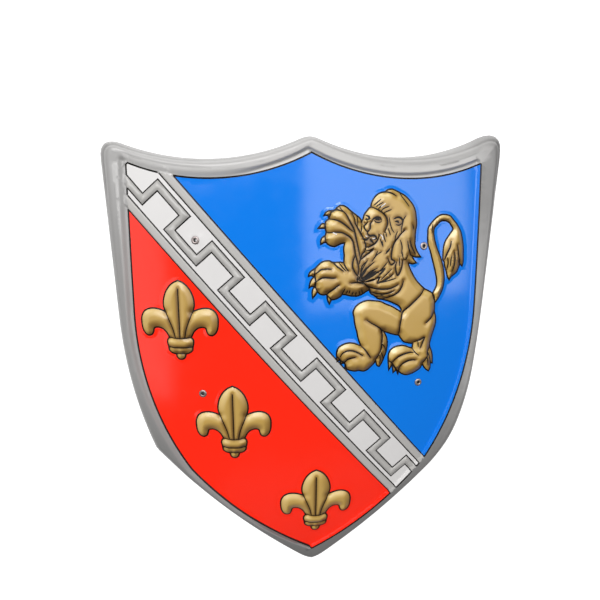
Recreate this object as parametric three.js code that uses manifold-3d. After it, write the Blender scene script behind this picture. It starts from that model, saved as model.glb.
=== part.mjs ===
// Costume heater shield: one formed plastic shell, two back straps and four hollow rivets.
// Millimetres. The shield lies front up: +X is its right, +Y its top edge, +Z its front.
// z = 0 is the plane of the trimmed skirt edge that it lies on.

import * as THREE from 'three';
import { mergeVertices } from 'three/addons/utils/BufferGeometryUtils.js';
import Module from 'manifold-3d';

const wasm = await Module();
wasm.setup();

// Sheet and domed face
const WALL = 2;
const CROWN_HEIGHT = 46;
const CROWN_Y = 20;
const DOME_RADIUS_X = 770;
const DOME_RADIUS_Y = 2500;
const FOOT_CURL_LENGTH = 1000;

// Coloured field inside the raised border
const FIELD = {
  topRadius: 195, valleyX: 98, valleyY: 194, cornerX: 180.5, cornerRound: 5,
  taper: 0, bendY: 63, sideRadius: 313, kinkY: -109, tipY: -221, footSagitta: 8.5,
};

// Trimmed outer edge of the skirt, cut by hand and so not the same on both sides
const EDGE_RIGHT = {
  topRadius: 214.2, valleyX: 93.3, valleyY: 220.4, cornerX: 213, cornerRound: 36,
  taper: 0.106, bendY: -10, sideRadius: 258, kinkY: -104, tipY: -244.28, footSagitta: 0,
};
const EDGE_LEFT = {
  topRadius: 241.6, valleyX: 105, valleyY: 217.9, cornerX: 210.6, cornerRound: 26,
  taper: 0.051, bendY: 56, sideRadius: 484, kinkY: -89, tipY: -244.28, footSagitta: 2.2,
};

// Raised border and the skirt behind it
const BORDER_RISE = 3.5;
const BORDER_STEP_SHARE = 0.2;
const BORDER_FLAT_SHARE = 0.6;
const SKIRT_SHARE = 0.84;

// Diagonal bend with its meander
const BEND_ANGLE = THREE.MathUtils.degToRad(-49.6);
const BEND_OFFSET = -1.5;
const BEND_WIDTH = 56;
const BAND_WIDTH = 9;
const BAND_RISE = 2.5;
const PANEL_RISE = 0.8;
const EDGE_BEVEL = 1.5;
const BEND_OVERRUN = 0.05;
const MEANDER_PITCH = 78.6;
const MEANDER_START = -162.9;
const MEANDER_SWING = 10.3;
const MEANDER_RIB = 8;

// Gilt figures in relief
const FLEUR_HEIGHT = 80;
const FLEUR_RELIEF = 5;
const FLEUR_PLACES = [[-134.2, 56.2], [-83.5, -53.3], [3.4, -152.4]];
const LION_HEIGHT = 194;
const LION_RELIEF = 7;
const LION_PLACE = [80, 88];

// Straps and hollow rivets
const STRAP_WIDTH = 28;
const STRAP_THICKNESS = 2.4;
const STRAP_TAB = 14;
const STRAP_BOW = 30;
const RIVET_FLANGE_RADIUS = 4;
const RIVET_BACK_RADIUS = 3.7;
const RIVET_FLANGE = 0.9;
const RIVET_SEAT_RADIUS = 5;
const RIVET_OUTER_RADIUS = 2.2;
const RIVET_BORE_RADIUS = 1.5;
const CLEARANCE = 0.3;
const ARM_STRAP = { name: 'arm', bottom: [-114, -21], top: [-114.7, 136] };
const GRIP_STRAP = { name: 'grip', bottom: [114.7, -18.3], top: [116.5, 127.6] };
const rivetPlaces = [ARM_STRAP, GRIP_STRAP].flatMap((strap) => [strap.bottom, strap.top]);

// Mesh fineness
const TOP_STEPS = 12;
const CORNER_STEPS = 3;
const SIDE_STEPS = 13;
const FOOT_STEPS = 8;
const FRONT_SPACING = 22;
const BACK_SPACING = 34;
const FIGURE_SPACING = 5.6;
const LINE_SPACING = 26;
const ROUND_SIDES = 12;

// Domed face without any relief
function dome(x, y) {
  const q = y - CROWN_Y;
  const curl = Math.max(0, -q) ** 3 / FOOT_CURL_LENGTH ** 2;
  return CROWN_HEIGHT - x * x / (2 * DOME_RADIUS_X) - q * q / (2 * DOME_RADIUS_Y) - curl;
}

function domeNormal(x, y) {
  const step = 0.5;
  const slopeX = (dome(x + step, y) - dome(x - step, y)) / (2 * step);
  const slopeY = (dome(x, y + step) - dome(x, y - step)) / (2 * step);
  return new THREE.Vector3(-slopeX, -slopeY, 1).normalize();
}

// Right half of an outline, from the peak over the corner and down the side to the tip
function halfOutline(o) {
  const topY = (x) => o.valleyY + o.topRadius - Math.sqrt(o.topRadius ** 2 - (x - o.valleyX) ** 2);
  const cornerY = topY(o.cornerX);
  const sideX = (y) => {
    const below = Math.max(0, o.bendY - y);
    const bend = o.sideRadius - Math.sqrt(o.sideRadius ** 2 - below ** 2);
    return o.cornerX - o.taper * (cornerY - y) - bend;
  };
  const points = [];
  const topEnd = o.cornerX - o.cornerRound;
  for (let i = 0; i < TOP_STEPS; i += 1) {
    const x = topEnd * i / TOP_STEPS;
    points.push([x, topY(x)]);
  }
  const sideStart = cornerY - o.cornerRound;
  const corner = new THREE.QuadraticBezierCurve(
    new THREE.Vector2(topEnd, topY(topEnd)),
    new THREE.Vector2(o.cornerX, cornerY),
    new THREE.Vector2(sideX(sideStart), sideStart),
  );
  for (const p of corner.getPoints(CORNER_STEPS)) points.push([p.x, p.y]);
  const flank = [points.pop()];
  for (let i = 1; i <= SIDE_STEPS; i += 1) {
    const y = sideStart + (o.kinkY - sideStart) * i / SIDE_STEPS;
    flank.push([sideX(y), y]);
  }
  const kinkX = sideX(o.kinkY);
  const length = Math.hypot(kinkX, o.kinkY - o.tipY);
  for (let i = 1; i <= FOOT_STEPS; i += 1) {
    const t = i / FOOT_STEPS;
    const bulge = 4 * o.footSagitta * t * (1 - t);
    const x = kinkX * (1 - t) + bulge * (o.kinkY - o.tipY) / length;
    const y = o.kinkY + (o.tipY - o.kinkY) * t - bulge * kinkX / length;
    flank.push([x, y]);
  }
  return [...points, ...evenly(flank)];
}

// The same line with its points at even distances
function evenly(line) {
  const runs = [0];
  for (let i = 1; i < line.length; i += 1) {
    runs.push(runs[i - 1] + Math.hypot(line[i][0] - line[i - 1][0], line[i][1] - line[i - 1][1]));
  }
  return line.map((_, k) => {
    const at = runs[line.length - 1] * k / (line.length - 1);
    const i = Math.min(line.length - 2, runs.findLastIndex((run) => run <= at + 1e-9));
    const t = (at - runs[i]) / (runs[i + 1] - runs[i]);
    return [0, 1].map((c) => line[i][c] + (line[i + 1][c] - line[i][c]) * t);
  });
}

// Whole outline, counter-clockwise seen from the front, starting at the tip
function outline(rightHalf, leftHalf = rightHalf) {
  const right = halfOutline(rightHalf).reverse();
  const left = halfOutline(leftHalf).slice(1, -1).map(([x, y]) => [-x, y]);
  return [...right, ...left];
}

function inside(polygon, x, y) {
  let result = false;
  for (let i = 0, j = polygon.length - 1; i < polygon.length; j = i, i += 1) {
    const [xi, yi] = polygon[i];
    const [xj, yj] = polygon[j];
    if ((yi > y) !== (yj > y) && x < (xj - xi) * (y - yi) / (yj - yi) + xi) result = !result;
  }
  return result;
}

function distanceToOutline(polygon, x, y) {
  let best = Infinity;
  for (let i = 0, j = polygon.length - 1; i < polygon.length; j = i, i += 1) {
    best = Math.min(best, nearestOnSegment(polygon[j], polygon[i], x, y).distance);
  }
  return best;
}

function nearestOnSegment(a, b, x, y) {
  const dx = b[0] - a[0];
  const dy = b[1] - a[1];
  const t = THREE.MathUtils.clamp(((x - a[0]) * dx + (y - a[1]) * dy) / (dx * dx + dy * dy), 0, 1);
  return { t, distance: Math.hypot(x - a[0] - dx * t, y - a[1] - dy * t) };
}

// A figure is a list of limbs; a limb is a spine of [x, y, radius] knots
function place(limbs, [cx, cy], scale) {
  return limbs.map((limb) => limb.map(([x, y, r]) => [cx + x * scale, cy + y * scale, r * scale]));
}

function mirrored(limbs) {
  return [...limbs, ...limbs.map((limb) => limb.map(([x, y, r]) => [-x, y, r]))];
}

// Fleur-de-lis as shares of its height
function fleurLimbs() {
  const petal = [[0, 0.49, 0.01], [0, 0.37, 0.11], [0, 0.24, 0.19], [0, 0.05, 0.13], [0, -0.2, 0.1]];
  const lobe = [
    [0.05, -0.22, 0.06], [0.13, -0.04, 0.08], [0.26, 0.06, 0.1],
    [0.37, 0.02, 0.11], [0.41, -0.09, 0.08], [0.385, -0.18, 0.02],
  ];
  const collar = [[0, -0.3, 0.05], [0.12, -0.3, 0.045]];
  const footSide = [[0.05, -0.33, 0.05], [0.1, -0.41, 0.05], [0.15, -0.45, 0.02]];
  const footMiddle = [[0, -0.33, 0.06], [0, -0.44, 0.07], [0, -0.5, 0.02]];
  return [petal, footMiddle, ...mirrored([lobe, collar, footSide])];
}

// A paw: a pad with toes fanned around it, each ending in a claw
function paw(x, y, radius, facing, toes) {
  const limbs = [[[x, y, radius * 0.8], [x + 1, y, radius * 0.8]]];
  for (let i = 0; i < toes; i += 1) {
    const angle = facing + (i - (toes - 1) / 2) * 0.75;
    const out = (reach) => [x + Math.cos(angle) * radius * reach, y + Math.sin(angle) * radius * reach];
    limbs.push([[...out(0.45), radius * 0.5], [...out(0.8), radius * 0.45], [...out(1.35), radius * 0.1]]);
  }
  return limbs;
}

// Hair locks that hang from a line, each a short taper
function locks(from, to, count, reach, radius) {
  const limbs = [];
  for (let i = 0; i < count; i += 1) {
    const t = (i + 0.5) / count;
    const x = from[0] + (to[0] - from[0]) * t;
    const y = from[1] + (to[1] - from[1]) * t;
    limbs.push([[x, y, radius], [x + reach[0] * 0.6, y + reach[1] * 0.6, radius * 0.8],
      [x + reach[0], y + reach[1], radius * 0.15]]);
  }
  return limbs;
}

// Lion rampant facing left, drawn LION_HEIGHT high about its middle
function lionLimbs() {
  const head = [[[-3, 74, 17], [8, 72, 20], [14, 58, 17]], [[12, 66, 19], [15, 48, 14], [19, 34, 9]]];
  const face = [[[-12, 68, 11], [-17, 58, 8]], [[-14, 50, 9], [-16, 44, 7]]];
  const mane = locks([-4, 42], [24, 32], 5, [4, -12], 6);
  const chest = [[[-12, 22, 17], [4, 26, 22], [10, 8, 25], [20, -8, 22]]];
  const haunch = [[[30, -34, 22], [33, -52, 15], [29, -70, 9], [22, -84, 11]]];
  const thigh = [[[12, -24, 14], [-12, -26, 13], [-26, -34, 11]],
    [[-26, -34, 11], [-20, -50, 11], [-18, -66, 9], [-24, -76, 12]]];
  const raisedArm = [[[-48, 62, 15], [-40, 50, 11], [-37, 28, 12], [-24, 14, 13]]];
  const lowerArm = [[[-64, 4, 13], [-50, 3, 9], [-32, 1, 9], [-10, 4, 13]]];
  const tail = [[[49, -16, 4], [57, 4, 3.5], [54, 24, 3.5], [45, 44, 3.5], [44, 58, 3.5],
    [53, 68, 3.5], [65, 69, 3.5], [72, 58, 4], [71, 40, 10], [69, 20, 7], [68, 6, 1.5]],
  [[72, 44, 8], [79, 28, 5], [83, 19, 1]]];
  return [...head, ...face, ...mane, ...chest, ...haunch, ...thigh, ...raisedArm, ...lowerArm, ...tail,
    ...paw(-57, 62, 15, Math.PI, 3), ...paw(-68, 4, 14, Math.PI * 1.1, 3),
    ...paw(-42, -78, 12, Math.PI * 1.12, 3), ...paw(14, -84, 13, Math.PI * 1.12, 3)];
}

// Height of one figure above the face: the highest of its limbs' round backs
function limbHeight(limbs, x, y, relief, fullRadius) {
  let best = 0;
  for (const limb of limbs) {
    for (let i = 0; i + 1 < limb.length; i += 1) {
      const { t, distance } = nearestOnSegment(limb[i], limb[i + 1], x, y);
      const radius = limb[i][2] + (limb[i + 1][2] - limb[i][2]) * t;
      if (distance < radius) {
        const height = relief * Math.min(1, 0.45 + 0.55 * radius / fullRadius);
        best = Math.max(best, height * Math.sqrt(1 - (distance / radius) ** 2));
      }
    }
  }
  return best;
}

const along = [Math.cos(BEND_ANGLE), Math.sin(BEND_ANGLE)];
const across = [-along[1], along[0]];
const toBend = (x, y) => [x * along[0] + y * along[1], x * across[0] + y * across[1] - BEND_OFFSET];
const fromBend = (t, n) => [0, 1].map((k) => along[k] * t + across[k] * (n + BEND_OFFSET));

// Corners of the meander's middle line in bend coordinates
function meanderLine() {
  const corners = [];
  const half = MEANDER_PITCH / 2;
  for (let k = -4; k * half + MEANDER_START < EDGE_RIGHT.cornerX * 2; k += 1) {
    const level = k % 2 === 0 ? -MEANDER_SWING : MEANDER_SWING;
    const t = MEANDER_START + k * half;
    corners.push([t, level], [t, -level]);
  }
  return corners;
}
const meander = meanderLine();

// Straight bar on the face, from one [along, across] place in the bend to another
function bar(from, to, width, rise) {
  const length = Math.hypot(to[0] - from[0], to[1] - from[1]);
  const forward = [(to[0] - from[0]) / length, (to[1] - from[1]) / length];
  const steps = Math.max(1, Math.round(length / LINE_SPACING));
  const positions = [];
  for (let k = 0; k <= steps; k += 1) {
    const end = (k === 0 ? 1 : 0) - (k === steps ? 1 : 0);
    for (const [side, bevel, height] of [[-1, 0, 0], [-1, 1, 1], [1, 1, 1], [1, 0, 0]]) {
      const out = side * (width / 2 - bevel * EDGE_BEVEL);
      const run = length * k / steps + end * bevel * EDGE_BEVEL;
      const [x, y] = fromBend(
        from[0] + forward[0] * run - forward[1] * out,
        from[1] + forward[1] * run + forward[0] * out,
      );
      positions.push(x, y, dome(x, y) + (height ? rise : -WALL / 2));
    }
  }
  const triangles = [];
  for (let k = 0; k < steps; k += 1) {
    for (let i = 0; i < 4; i += 1) {
      const [a, b] = [4 * k + i, 4 * k + (i + 1) % 4];
      triangles.push(a, a + 4, b + 4, a, b + 4, b);
    }
  }
  const last = 4 * steps;
  triangles.push(0, 1, 2, 0, 2, 3, last, last + 2, last + 1, last, last + 3, last + 2);
  return indexed(positions, triangles);
}

// Panel, two bands and the meander's ribs, cut off just inside the border
function bendSolid() {
  const reach = EDGE_RIGHT.cornerX * 2;
  const band = BEND_WIDTH / 2 - BAND_WIDTH / 2;
  const bars = [
    bar([-reach, 0], [reach, 0], BEND_WIDTH - BAND_WIDTH, PANEL_RISE),
    bar([-reach, band], [reach, band], BAND_WIDTH, BAND_RISE),
    bar([-reach, -band], [reach, -band], BAND_WIDTH, BAND_RISE),
  ];
  const half = MEANDER_RIB / 2;
  for (let i = 0; i + 1 < meander.length; i += 1) {
    const [from, to] = [meander[i], meander[i + 1]];
    const sign = [0, 1].map((k) => Math.sign(to[k] - from[k]) * half);
    bars.push(bar([from[0] - sign[0], from[1] - sign[1]], [to[0] + sign[0], to[1] + sign[1]],
      MEANDER_RIB, BAND_RISE));
  }
  const field = outline(FIELD);
  const edge = outline(EDGE_RIGHT, EDGE_LEFT);
  const limit = new THREE.Shape(field.map(([x, y], i) => new THREE.Vector2(
    x + (edge[i][0] - x) * BEND_OVERRUN,
    y + (edge[i][1] - y) * BEND_OVERRUN,
  )));
  const prism = new THREE.ExtrudeGeometry(limit, { depth: 2 * CROWN_HEIGHT, bevelEnabled: false });
  const joined = bars.map(toSolid).reduce((sum, solid) => sum.add(solid));
  return joined.intersect(toSolid(prism));
}

const fleurs = FLEUR_PLACES.map((spot) => place(fleurLimbs(), spot, FLEUR_HEIGHT));
const lion = place(lionLimbs(), LION_PLACE, LION_HEIGHT / 194);

function relief(x, y) {
  let height = limbHeight(lion, x, y, LION_RELIEF, LION_HEIGHT * 0.1);
  for (const fleur of fleurs) {
    height = Math.max(height, limbHeight(fleur, x, y, FLEUR_RELIEF, FLEUR_HEIGHT * 0.15));
  }
  return height;
}

// Middle and rim of the ground that a rivet's flange sits on
function seatPoints([x, y]) {
  const rim = Array.from({ length: 8 }, (_, k) => [
    x + RIVET_SEAT_RADIUS * Math.cos(k * Math.PI / 4),
    y + RIVET_SEAT_RADIUS * Math.sin(k * Math.PI / 4),
  ]);
  return [[x, y], ...rim];
}

function seatRise(spot) {
  const heights = seatPoints(spot).map(([x, y]) => {
    const fromMiddle = Math.abs(toBend(x, y)[1]);
    const bendRise = fromMiddle < BEND_WIDTH / 2 - BAND_WIDTH ? PANEL_RISE : BAND_RISE;
    return Math.max(relief(x, y), fromMiddle < BEND_WIDTH / 2 ? bendRise : 0);
  });
  return Math.max(...heights);
}

// Points that carry a figure: along its limbs' edges, shoulders and spines
function figurePoints(limbs) {
  const points = [];
  for (const limb of limbs) {
    for (let i = 0; i + 1 < limb.length; i += 1) {
      const [ax, ay, ar] = limb[i];
      const [bx, by, br] = limb[i + 1];
      const length = Math.hypot(bx - ax, by - ay);
      const steps = Math.max(1, Math.round(length / FIGURE_SPACING));
      for (let k = 0; k <= steps; k += 1) {
        const t = k / steps;
        const radius = ar + (br - ar) * t;
        for (const share of [1.04, -1.04, 0.82, -0.82, 0]) {
          const x = ax + (bx - ax) * t - (by - ay) / length * radius * share;
          const y = ay + (by - ay) * t + (bx - ax) / length * radius * share;
          if (Math.abs(share) <= 1 || relief(x, y) === 0) points.push([x, y]);
        }
      }
    }
    const [x, y, radius] = limb[limb.length - 1];
    for (let k = 0; k < 6 && radius > FIGURE_SPACING / 2; k += 1) {
      const [ex, ey] = [x + Math.cos(k) * radius * 1.04, y + Math.sin(k) * radius * 1.04];
      if (relief(ex, ey) === 0) points.push([ex, ey]);
    }
  }
  return points;
}

// Even hexagonal grid, nudged slightly so that no four points share a circle
function gridPoints(polygon, spacing, margin) {
  const points = [];
  const reach = EDGE_RIGHT.cornerX * 1.3;
  let row = 0;
  for (let y = -reach; y < reach; y += spacing * Math.sqrt(3) / 2, row += 1) {
    for (let x = -reach + (row % 2) * spacing / 2; x < reach; x += spacing) {
      const px = x + 0.4 * Math.sin(3 * x + 5 * y);
      const py = y + 0.4 * Math.cos(4 * x - 3 * y);
      if (inside(polygon, px, py) && distanceToOutline(polygon, px, py) > margin) points.push([px, py]);
    }
  }
  return points;
}

// Keeps earlier points and drops later ones that crowd them
function thinned(groups) {
  const kept = [];
  for (const { points, gap } of groups) {
    for (const p of points) {
      if (kept.every((q) => Math.hypot(p[0] - q[0], p[1] - q[1]) > gap)) kept.push(p);
    }
  }
  return kept;
}

// Delaunay triangles of flat points, by inserting one point after another
function triangulate(points) {
  const far = 1e5;
  const all = [...points, [-far, -far], [far, -far], [0, far]];
  const count = points.length;
  const circle = (a, b, c) => {
    const [ax, ay] = all[a];
    const [bx, by] = [all[b][0] - ax, all[b][1] - ay];
    const [cx, cy] = [all[c][0] - ax, all[c][1] - ay];
    const d = 2 * (bx * cy - by * cx);
    const ux = (cy * (bx * bx + by * by) - by * (cx * cx + cy * cy)) / d;
    const uy = (bx * (cx * cx + cy * cy) - cx * (bx * bx + by * by)) / d;
    return { corners: [a, b, c], x: ax + ux, y: ay + uy, square: ux * ux + uy * uy };
  };
  let triangles = [circle(count, count + 1, count + 2)];
  for (let p = 0; p < count; p += 1) {
    const [x, y] = all[p];
    const open = new Map();
    const kept = [];
    for (const triangle of triangles) {
      if ((triangle.x - x) ** 2 + (triangle.y - y) ** 2 >= triangle.square) {
        kept.push(triangle);
        continue;
      }
      const [a, b, c] = triangle.corners;
      for (const [from, to] of [[a, b], [b, c], [c, a]]) {
        if (!open.delete(`${to},${from}`)) open.set(`${from},${to}`, [from, to]);
      }
    }
    triangles = kept;
    for (const [from, to] of open.values()) triangles.push(circle(from, to, p));
  }
  return triangles.map((triangle) => triangle.corners).filter((corners) => Math.max(...corners) < count);
}

// The border and skirt's section at one place: distance out from the field, and height
function rimSection(width, foot) {
  const top = foot + BORDER_RISE;
  return [
    [0, foot],
    [BORDER_STEP_SHARE * 0.5 * width, foot + BORDER_RISE * 0.8],
    [BORDER_STEP_SHARE * width, top],
    [BORDER_FLAT_SHARE * width, top - BORDER_RISE * 0.2],
    [(BORDER_FLAT_SHARE + SKIRT_SHARE) / 2 * width, top * 0.88],
    [SKIRT_SHARE * width, top * 0.68],
    [(1 + SKIRT_SHARE) / 2 * width, top * 0.35],
    [width, 0],
  ];
}

// The same section moved in by the wall; its last point stays on the trim plane
function wallSection(section) {
  return section.map(([s, z], i) => {
    if (i === 0) return [0, z - WALL];
    const before = section[i - 1];
    const after = section[Math.min(i + 1, section.length - 1)];
    const length = Math.hypot(after[0] - before[0], after[1] - before[1]);
    const normal = [-(after[1] - before[1]) / length, (after[0] - before[0]) / length];
    if (i === section.length - 1) return [s - WALL / normal[0], 0];
    return [s - normal[0] * WALL, z - normal[1] * WALL];
  });
}

// Closed shell: front face, border, skirt, trim edge, and the hollow back
function shellGeometry() {
  const field = outline(FIELD);
  const edge = outline(EDGE_RIGHT, EDGE_LEFT);
  const figures = [...fleurs, lion].flatMap(figurePoints);
  const clear = (p) => inside(field, p[0], p[1]) && distanceToOutline(field, p[0], p[1]) > 2.5
    && rivetPlaces.every(([x, y]) => Math.hypot(p[0] - x, p[1] - y) > RIVET_SEAT_RADIUS);
  const nearFigure = ([x, y]) => [...fleurs, lion].some((limbs) => {
    const grown = limbs.map((limb) => limb.map((knot) => [knot[0], knot[1], knot[2] + FIGURE_SPACING]));
    return limbHeight(grown, x, y, 1, 1) > 0;
  });
  const frontPoints = thinned([
    { points: field, gap: 0 },
    { points: rivetPlaces.flatMap(seatPoints), gap: 0 },
    { points: figures.filter(clear), gap: FIGURE_SPACING * 0.45 },
    { points: gridPoints(field, FIGURE_SPACING, 5).filter(nearFigure), gap: FIGURE_SPACING * 0.7 },
    { points: gridPoints(field, FRONT_SPACING, 5), gap: FRONT_SPACING * 0.45 },
  ]);
  const backPoints = thinned([
    { points: field, gap: 0 },
    { points: gridPoints(field, BACK_SPACING, 6), gap: BACK_SPACING * 0.5 },
  ]);
  const positions = [];
  const triangles = [];
  const addSheet = (points, height, front) => {
    const first = positions.length / 3;
    for (const [x, y] of points) positions.push(x, y, height(x, y));
    for (const [a, b, c] of triangulate(points)) {
      const cx = (points[a][0] + points[b][0] + points[c][0]) / 3;
      const cy = (points[a][1] + points[b][1] + points[c][1]) / 3;
      if (!inside(field, cx, cy)) continue;
      const turn = (points[b][0] - points[a][0]) * (points[c][1] - points[a][1])
        - (points[b][1] - points[a][1]) * (points[c][0] - points[a][0]);
      const [u, v] = (turn > 0) === front ? [b, c] : [c, b];
      triangles.push(first + a, first + u, first + v);
    }
    return first;
  };
  const frontFirst = addSheet(frontPoints, (x, y) => dome(x, y) + relief(x, y), true);
  const backFirst = addSheet(backPoints, (x, y) => dome(x, y) - WALL, false);

  const count = field.length;
  const sections = field.map(([x, y], i) => {
    const width = Math.hypot(edge[i][0] - x, edge[i][1] - y);
    const outer = rimSection(width, dome(x, y));
    outer[0][1] += relief(x, y);
    const inner = wallSection(rimSection(width, dome(x, y)));
    return { width, loop: [...outer, ...inner.reverse()] };
  });
  const ringCount = sections[0].loop.length;
  const rings = [Array.from({ length: count }, (_, i) => frontFirst + i)];
  for (let k = 1; k < ringCount - 1; k += 1) {
    const ring = [];
    for (let i = 0; i < count; i += 1) {
      const { width, loop } = sections[i];
      const share = loop[k][0] / width;
      ring.push(positions.length / 3);
      positions.push(
        field[i][0] + (edge[i][0] - field[i][0]) * share,
        field[i][1] + (edge[i][1] - field[i][1]) * share,
        loop[k][1],
      );
    }
    rings.push(ring);
  }
  rings.push(Array.from({ length: count }, (_, i) => backFirst + i));
  for (let k = 0; k + 1 < rings.length; k += 1) {
    for (let i = 0; i < count; i += 1) {
      const j = (i + 1) % count;
      triangles.push(rings[k][i], rings[k + 1][i], rings[k + 1][j]);
      triangles.push(rings[k][i], rings[k + 1][j], rings[k][j]);
    }
  }
  return indexed(positions, triangles);
}

function indexed(positions, triangles) {
  const geometry = new THREE.BufferGeometry();
  geometry.setAttribute('position', new THREE.Float32BufferAttribute(positions, 3));
  geometry.setIndex(triangles);
  return geometry;
}

// Boolean cut with round drills along the rivets' axes
function toSolid(geometry) {
  const bare = geometry.clone();
  bare.deleteAttribute('normal');
  bare.deleteAttribute('uv');
  const merged = mergeVertices(bare, 1e-4);
  return new wasm.Manifold(new wasm.Mesh({
    numProp: 3,
    vertProperties: new Float32Array(merged.attributes.position.array),
    triVerts: new Uint32Array(merged.index.array),
  }));
}

function drilled(body, holes) {
  let solid = body;
  for (const [x, y] of holes) {
    const drill = new THREE.CylinderGeometry(
      RIVET_OUTER_RADIUS + CLEARANCE, RIVET_OUTER_RADIUS + CLEARANCE, 8 * WALL, ROUND_SIDES,
    );
    drill.applyMatrix4(rivetMatrix(x, y));
    solid = solid.subtract(toSolid(drill));
  }
  const mesh = solid.getMesh();
  return indexed(Array.from(mesh.vertProperties), Array.from(mesh.triVerts));
}

// Local frame of a rivet: its +Y is the face's outward direction, its origin on the bare face
function rivetMatrix(x, y) {
  const turn = new THREE.Quaternion().setFromUnitVectors(new THREE.Vector3(0, 1, 0), domeNormal(x, y));
  return new THREE.Matrix4().compose(new THREE.Vector3(x, y, dome(x, y)), turn, new THREE.Vector3(1, 1, 1));
}

// Hollow rivet with a flange on the face and a rolled flange behind the strap
function rivetGeometry(x, y) {
  const seat = seatRise([x, y]) + CLEARANCE;
  const rolled = -(WALL + STRAP_THICKNESS + 2 * CLEARANCE);
  const profile = [
    [RIVET_BORE_RADIUS, rolled - RIVET_FLANGE],
    [RIVET_BACK_RADIUS - 0.4, rolled - RIVET_FLANGE],
    [RIVET_BACK_RADIUS, rolled],
    [RIVET_OUTER_RADIUS, rolled],
    [RIVET_OUTER_RADIUS, seat],
    [RIVET_FLANGE_RADIUS, seat],
    [RIVET_FLANGE_RADIUS - 0.5, seat + RIVET_FLANGE * 0.8],
    [RIVET_BORE_RADIUS + 0.9, seat + RIVET_FLANGE],
    [RIVET_BORE_RADIUS, seat + RIVET_FLANGE * 0.5],
    [RIVET_BORE_RADIUS, rolled - RIVET_FLANGE],
  ];
  return new THREE.LatheGeometry(profile.map(([r, h]) => new THREE.Vector2(r, h)), ROUND_SIDES);
}

// Bowed strap with round ends; both tabs lie against the back of the shell
function strapGeometry({ bottom, top }) {
  const half = STRAP_WIDTH / 2;
  const stations = [];
  const low = bottom[1] - STRAP_TAB;
  const high = top[1] + STRAP_TAB;
  const endSteps = 4;
  for (let i = 1; i <= endSteps; i += 1) {
    const angle = Math.PI / 2 * i / endSteps;
    stations.push({ y: low + half * (1 - Math.cos(angle)), half: half * Math.sin(angle) });
  }
  const mirroredEnd = stations.map((s) => ({ y: low + high - s.y, half: s.half })).reverse();
  const middleSteps = 16;
  const start = low + half;
  const span = high - half - start;
  for (let i = 1; i < middleSteps; i += 1) stations.push({ y: start + span * i / middleSteps, half });
  stations.push(...mirroredEnd);

  const bowStart = bottom[1] + STRAP_TAB;
  const bowEnd = top[1] - STRAP_TAB;
  const bow = (y) => {
    const t = THREE.MathUtils.clamp((y - bowStart) / (bowEnd - bowStart), 0, 1);
    return STRAP_BOW * Math.sin(Math.PI * t) ** 2;
  };
  const topHeight = (x, y) => dome(x, y) - (WALL + CLEARANCE) / domeNormal(x, y).z - bow(y);
  const positions = [];
  for (const { y, half: reach } of stations) {
    const x = bottom[0] + (top[0] - bottom[0]) * (y - bottom[1]) / (top[1] - bottom[1]);
    const slope = topHeight(x, y + 0.5) - topHeight(x, y - 0.5);
    const drop = STRAP_THICKNESS * Math.hypot(1, slope);
    for (const side of [-1, 1]) {
      const z = topHeight(x + side * reach, y);
      positions.push(x + side * reach, y, z, x + side * reach, y, z - drop);
    }
  }
  const triangles = [];
  const quad = (a, b, c, d) => triangles.push(a, b, c, a, c, d);
  for (let k = 0; k + 1 < stations.length; k += 1) {
    const a = 4 * k;
    const b = a + 4;
    quad(a, a + 2, b + 2, b);
    quad(a + 1, b + 1, b + 3, a + 3);
    quad(a, b, b + 1, a + 1);
    quad(a + 2, a + 3, b + 3, b + 2);
  }
  const last = 4 * (stations.length - 1);
  quad(0, 1, 3, 2);
  quad(last, last + 2, last + 3, last + 1);
  return indexed(positions, triangles);
}

function part(name, geometry, material) {
  geometry.computeVertexNormals();
  const mesh = new THREE.Mesh(geometry, material);
  mesh.name = name;
  return mesh;
}

const printedPlastic = new THREE.MeshStandardMaterial({ color: 0xb9b8b6, roughness: 0.25, metalness: 0 });
const strapPlastic = new THREE.MeshStandardMaterial({ color: 0x26262a, roughness: 0.5, metalness: 0 });
const nickel = new THREE.MeshStandardMaterial({ color: 0xb8b4aa, roughness: 0.3, metalness: 1 });

const shield = new THREE.Group();
const shell = toSolid(shellGeometry()).add(bendSolid());
shield.add(part('shell', drilled(shell, rivetPlaces), printedPlastic));
for (const strap of [ARM_STRAP, GRIP_STRAP]) {
  const band = toSolid(strapGeometry(strap));
  shield.add(part(`${strap.name}_strap`, drilled(band, [strap.bottom, strap.top]), strapPlastic));
  for (const end of ['bottom', 'top']) {
    const [x, y] = strap[end];
    const rivet = part(`rivet_${strap.name}_${end}`, rivetGeometry(x, y), nickel);
    rivet.applyMatrix4(rivetMatrix(x, y));
    shield.add(rivet);
  }
}

export default shield;
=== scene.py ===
# %% [markdown]
# # A costume heater shield
# The real object is one sheet of glossy plastic, formed over a mould and printed: a silver border, a red
# and a blue field, a silver bend with a meander, three gilt fleurs-de-lis and a gilt lion. Two straps are
# held behind it by four hollow rivets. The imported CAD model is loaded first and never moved, so every piece
# that is made here goes where the CAD says.

# %% Frame
import math

import bpy
import numpy as np
from mathutils import Matrix, Vector, geometry, kdtree


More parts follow.
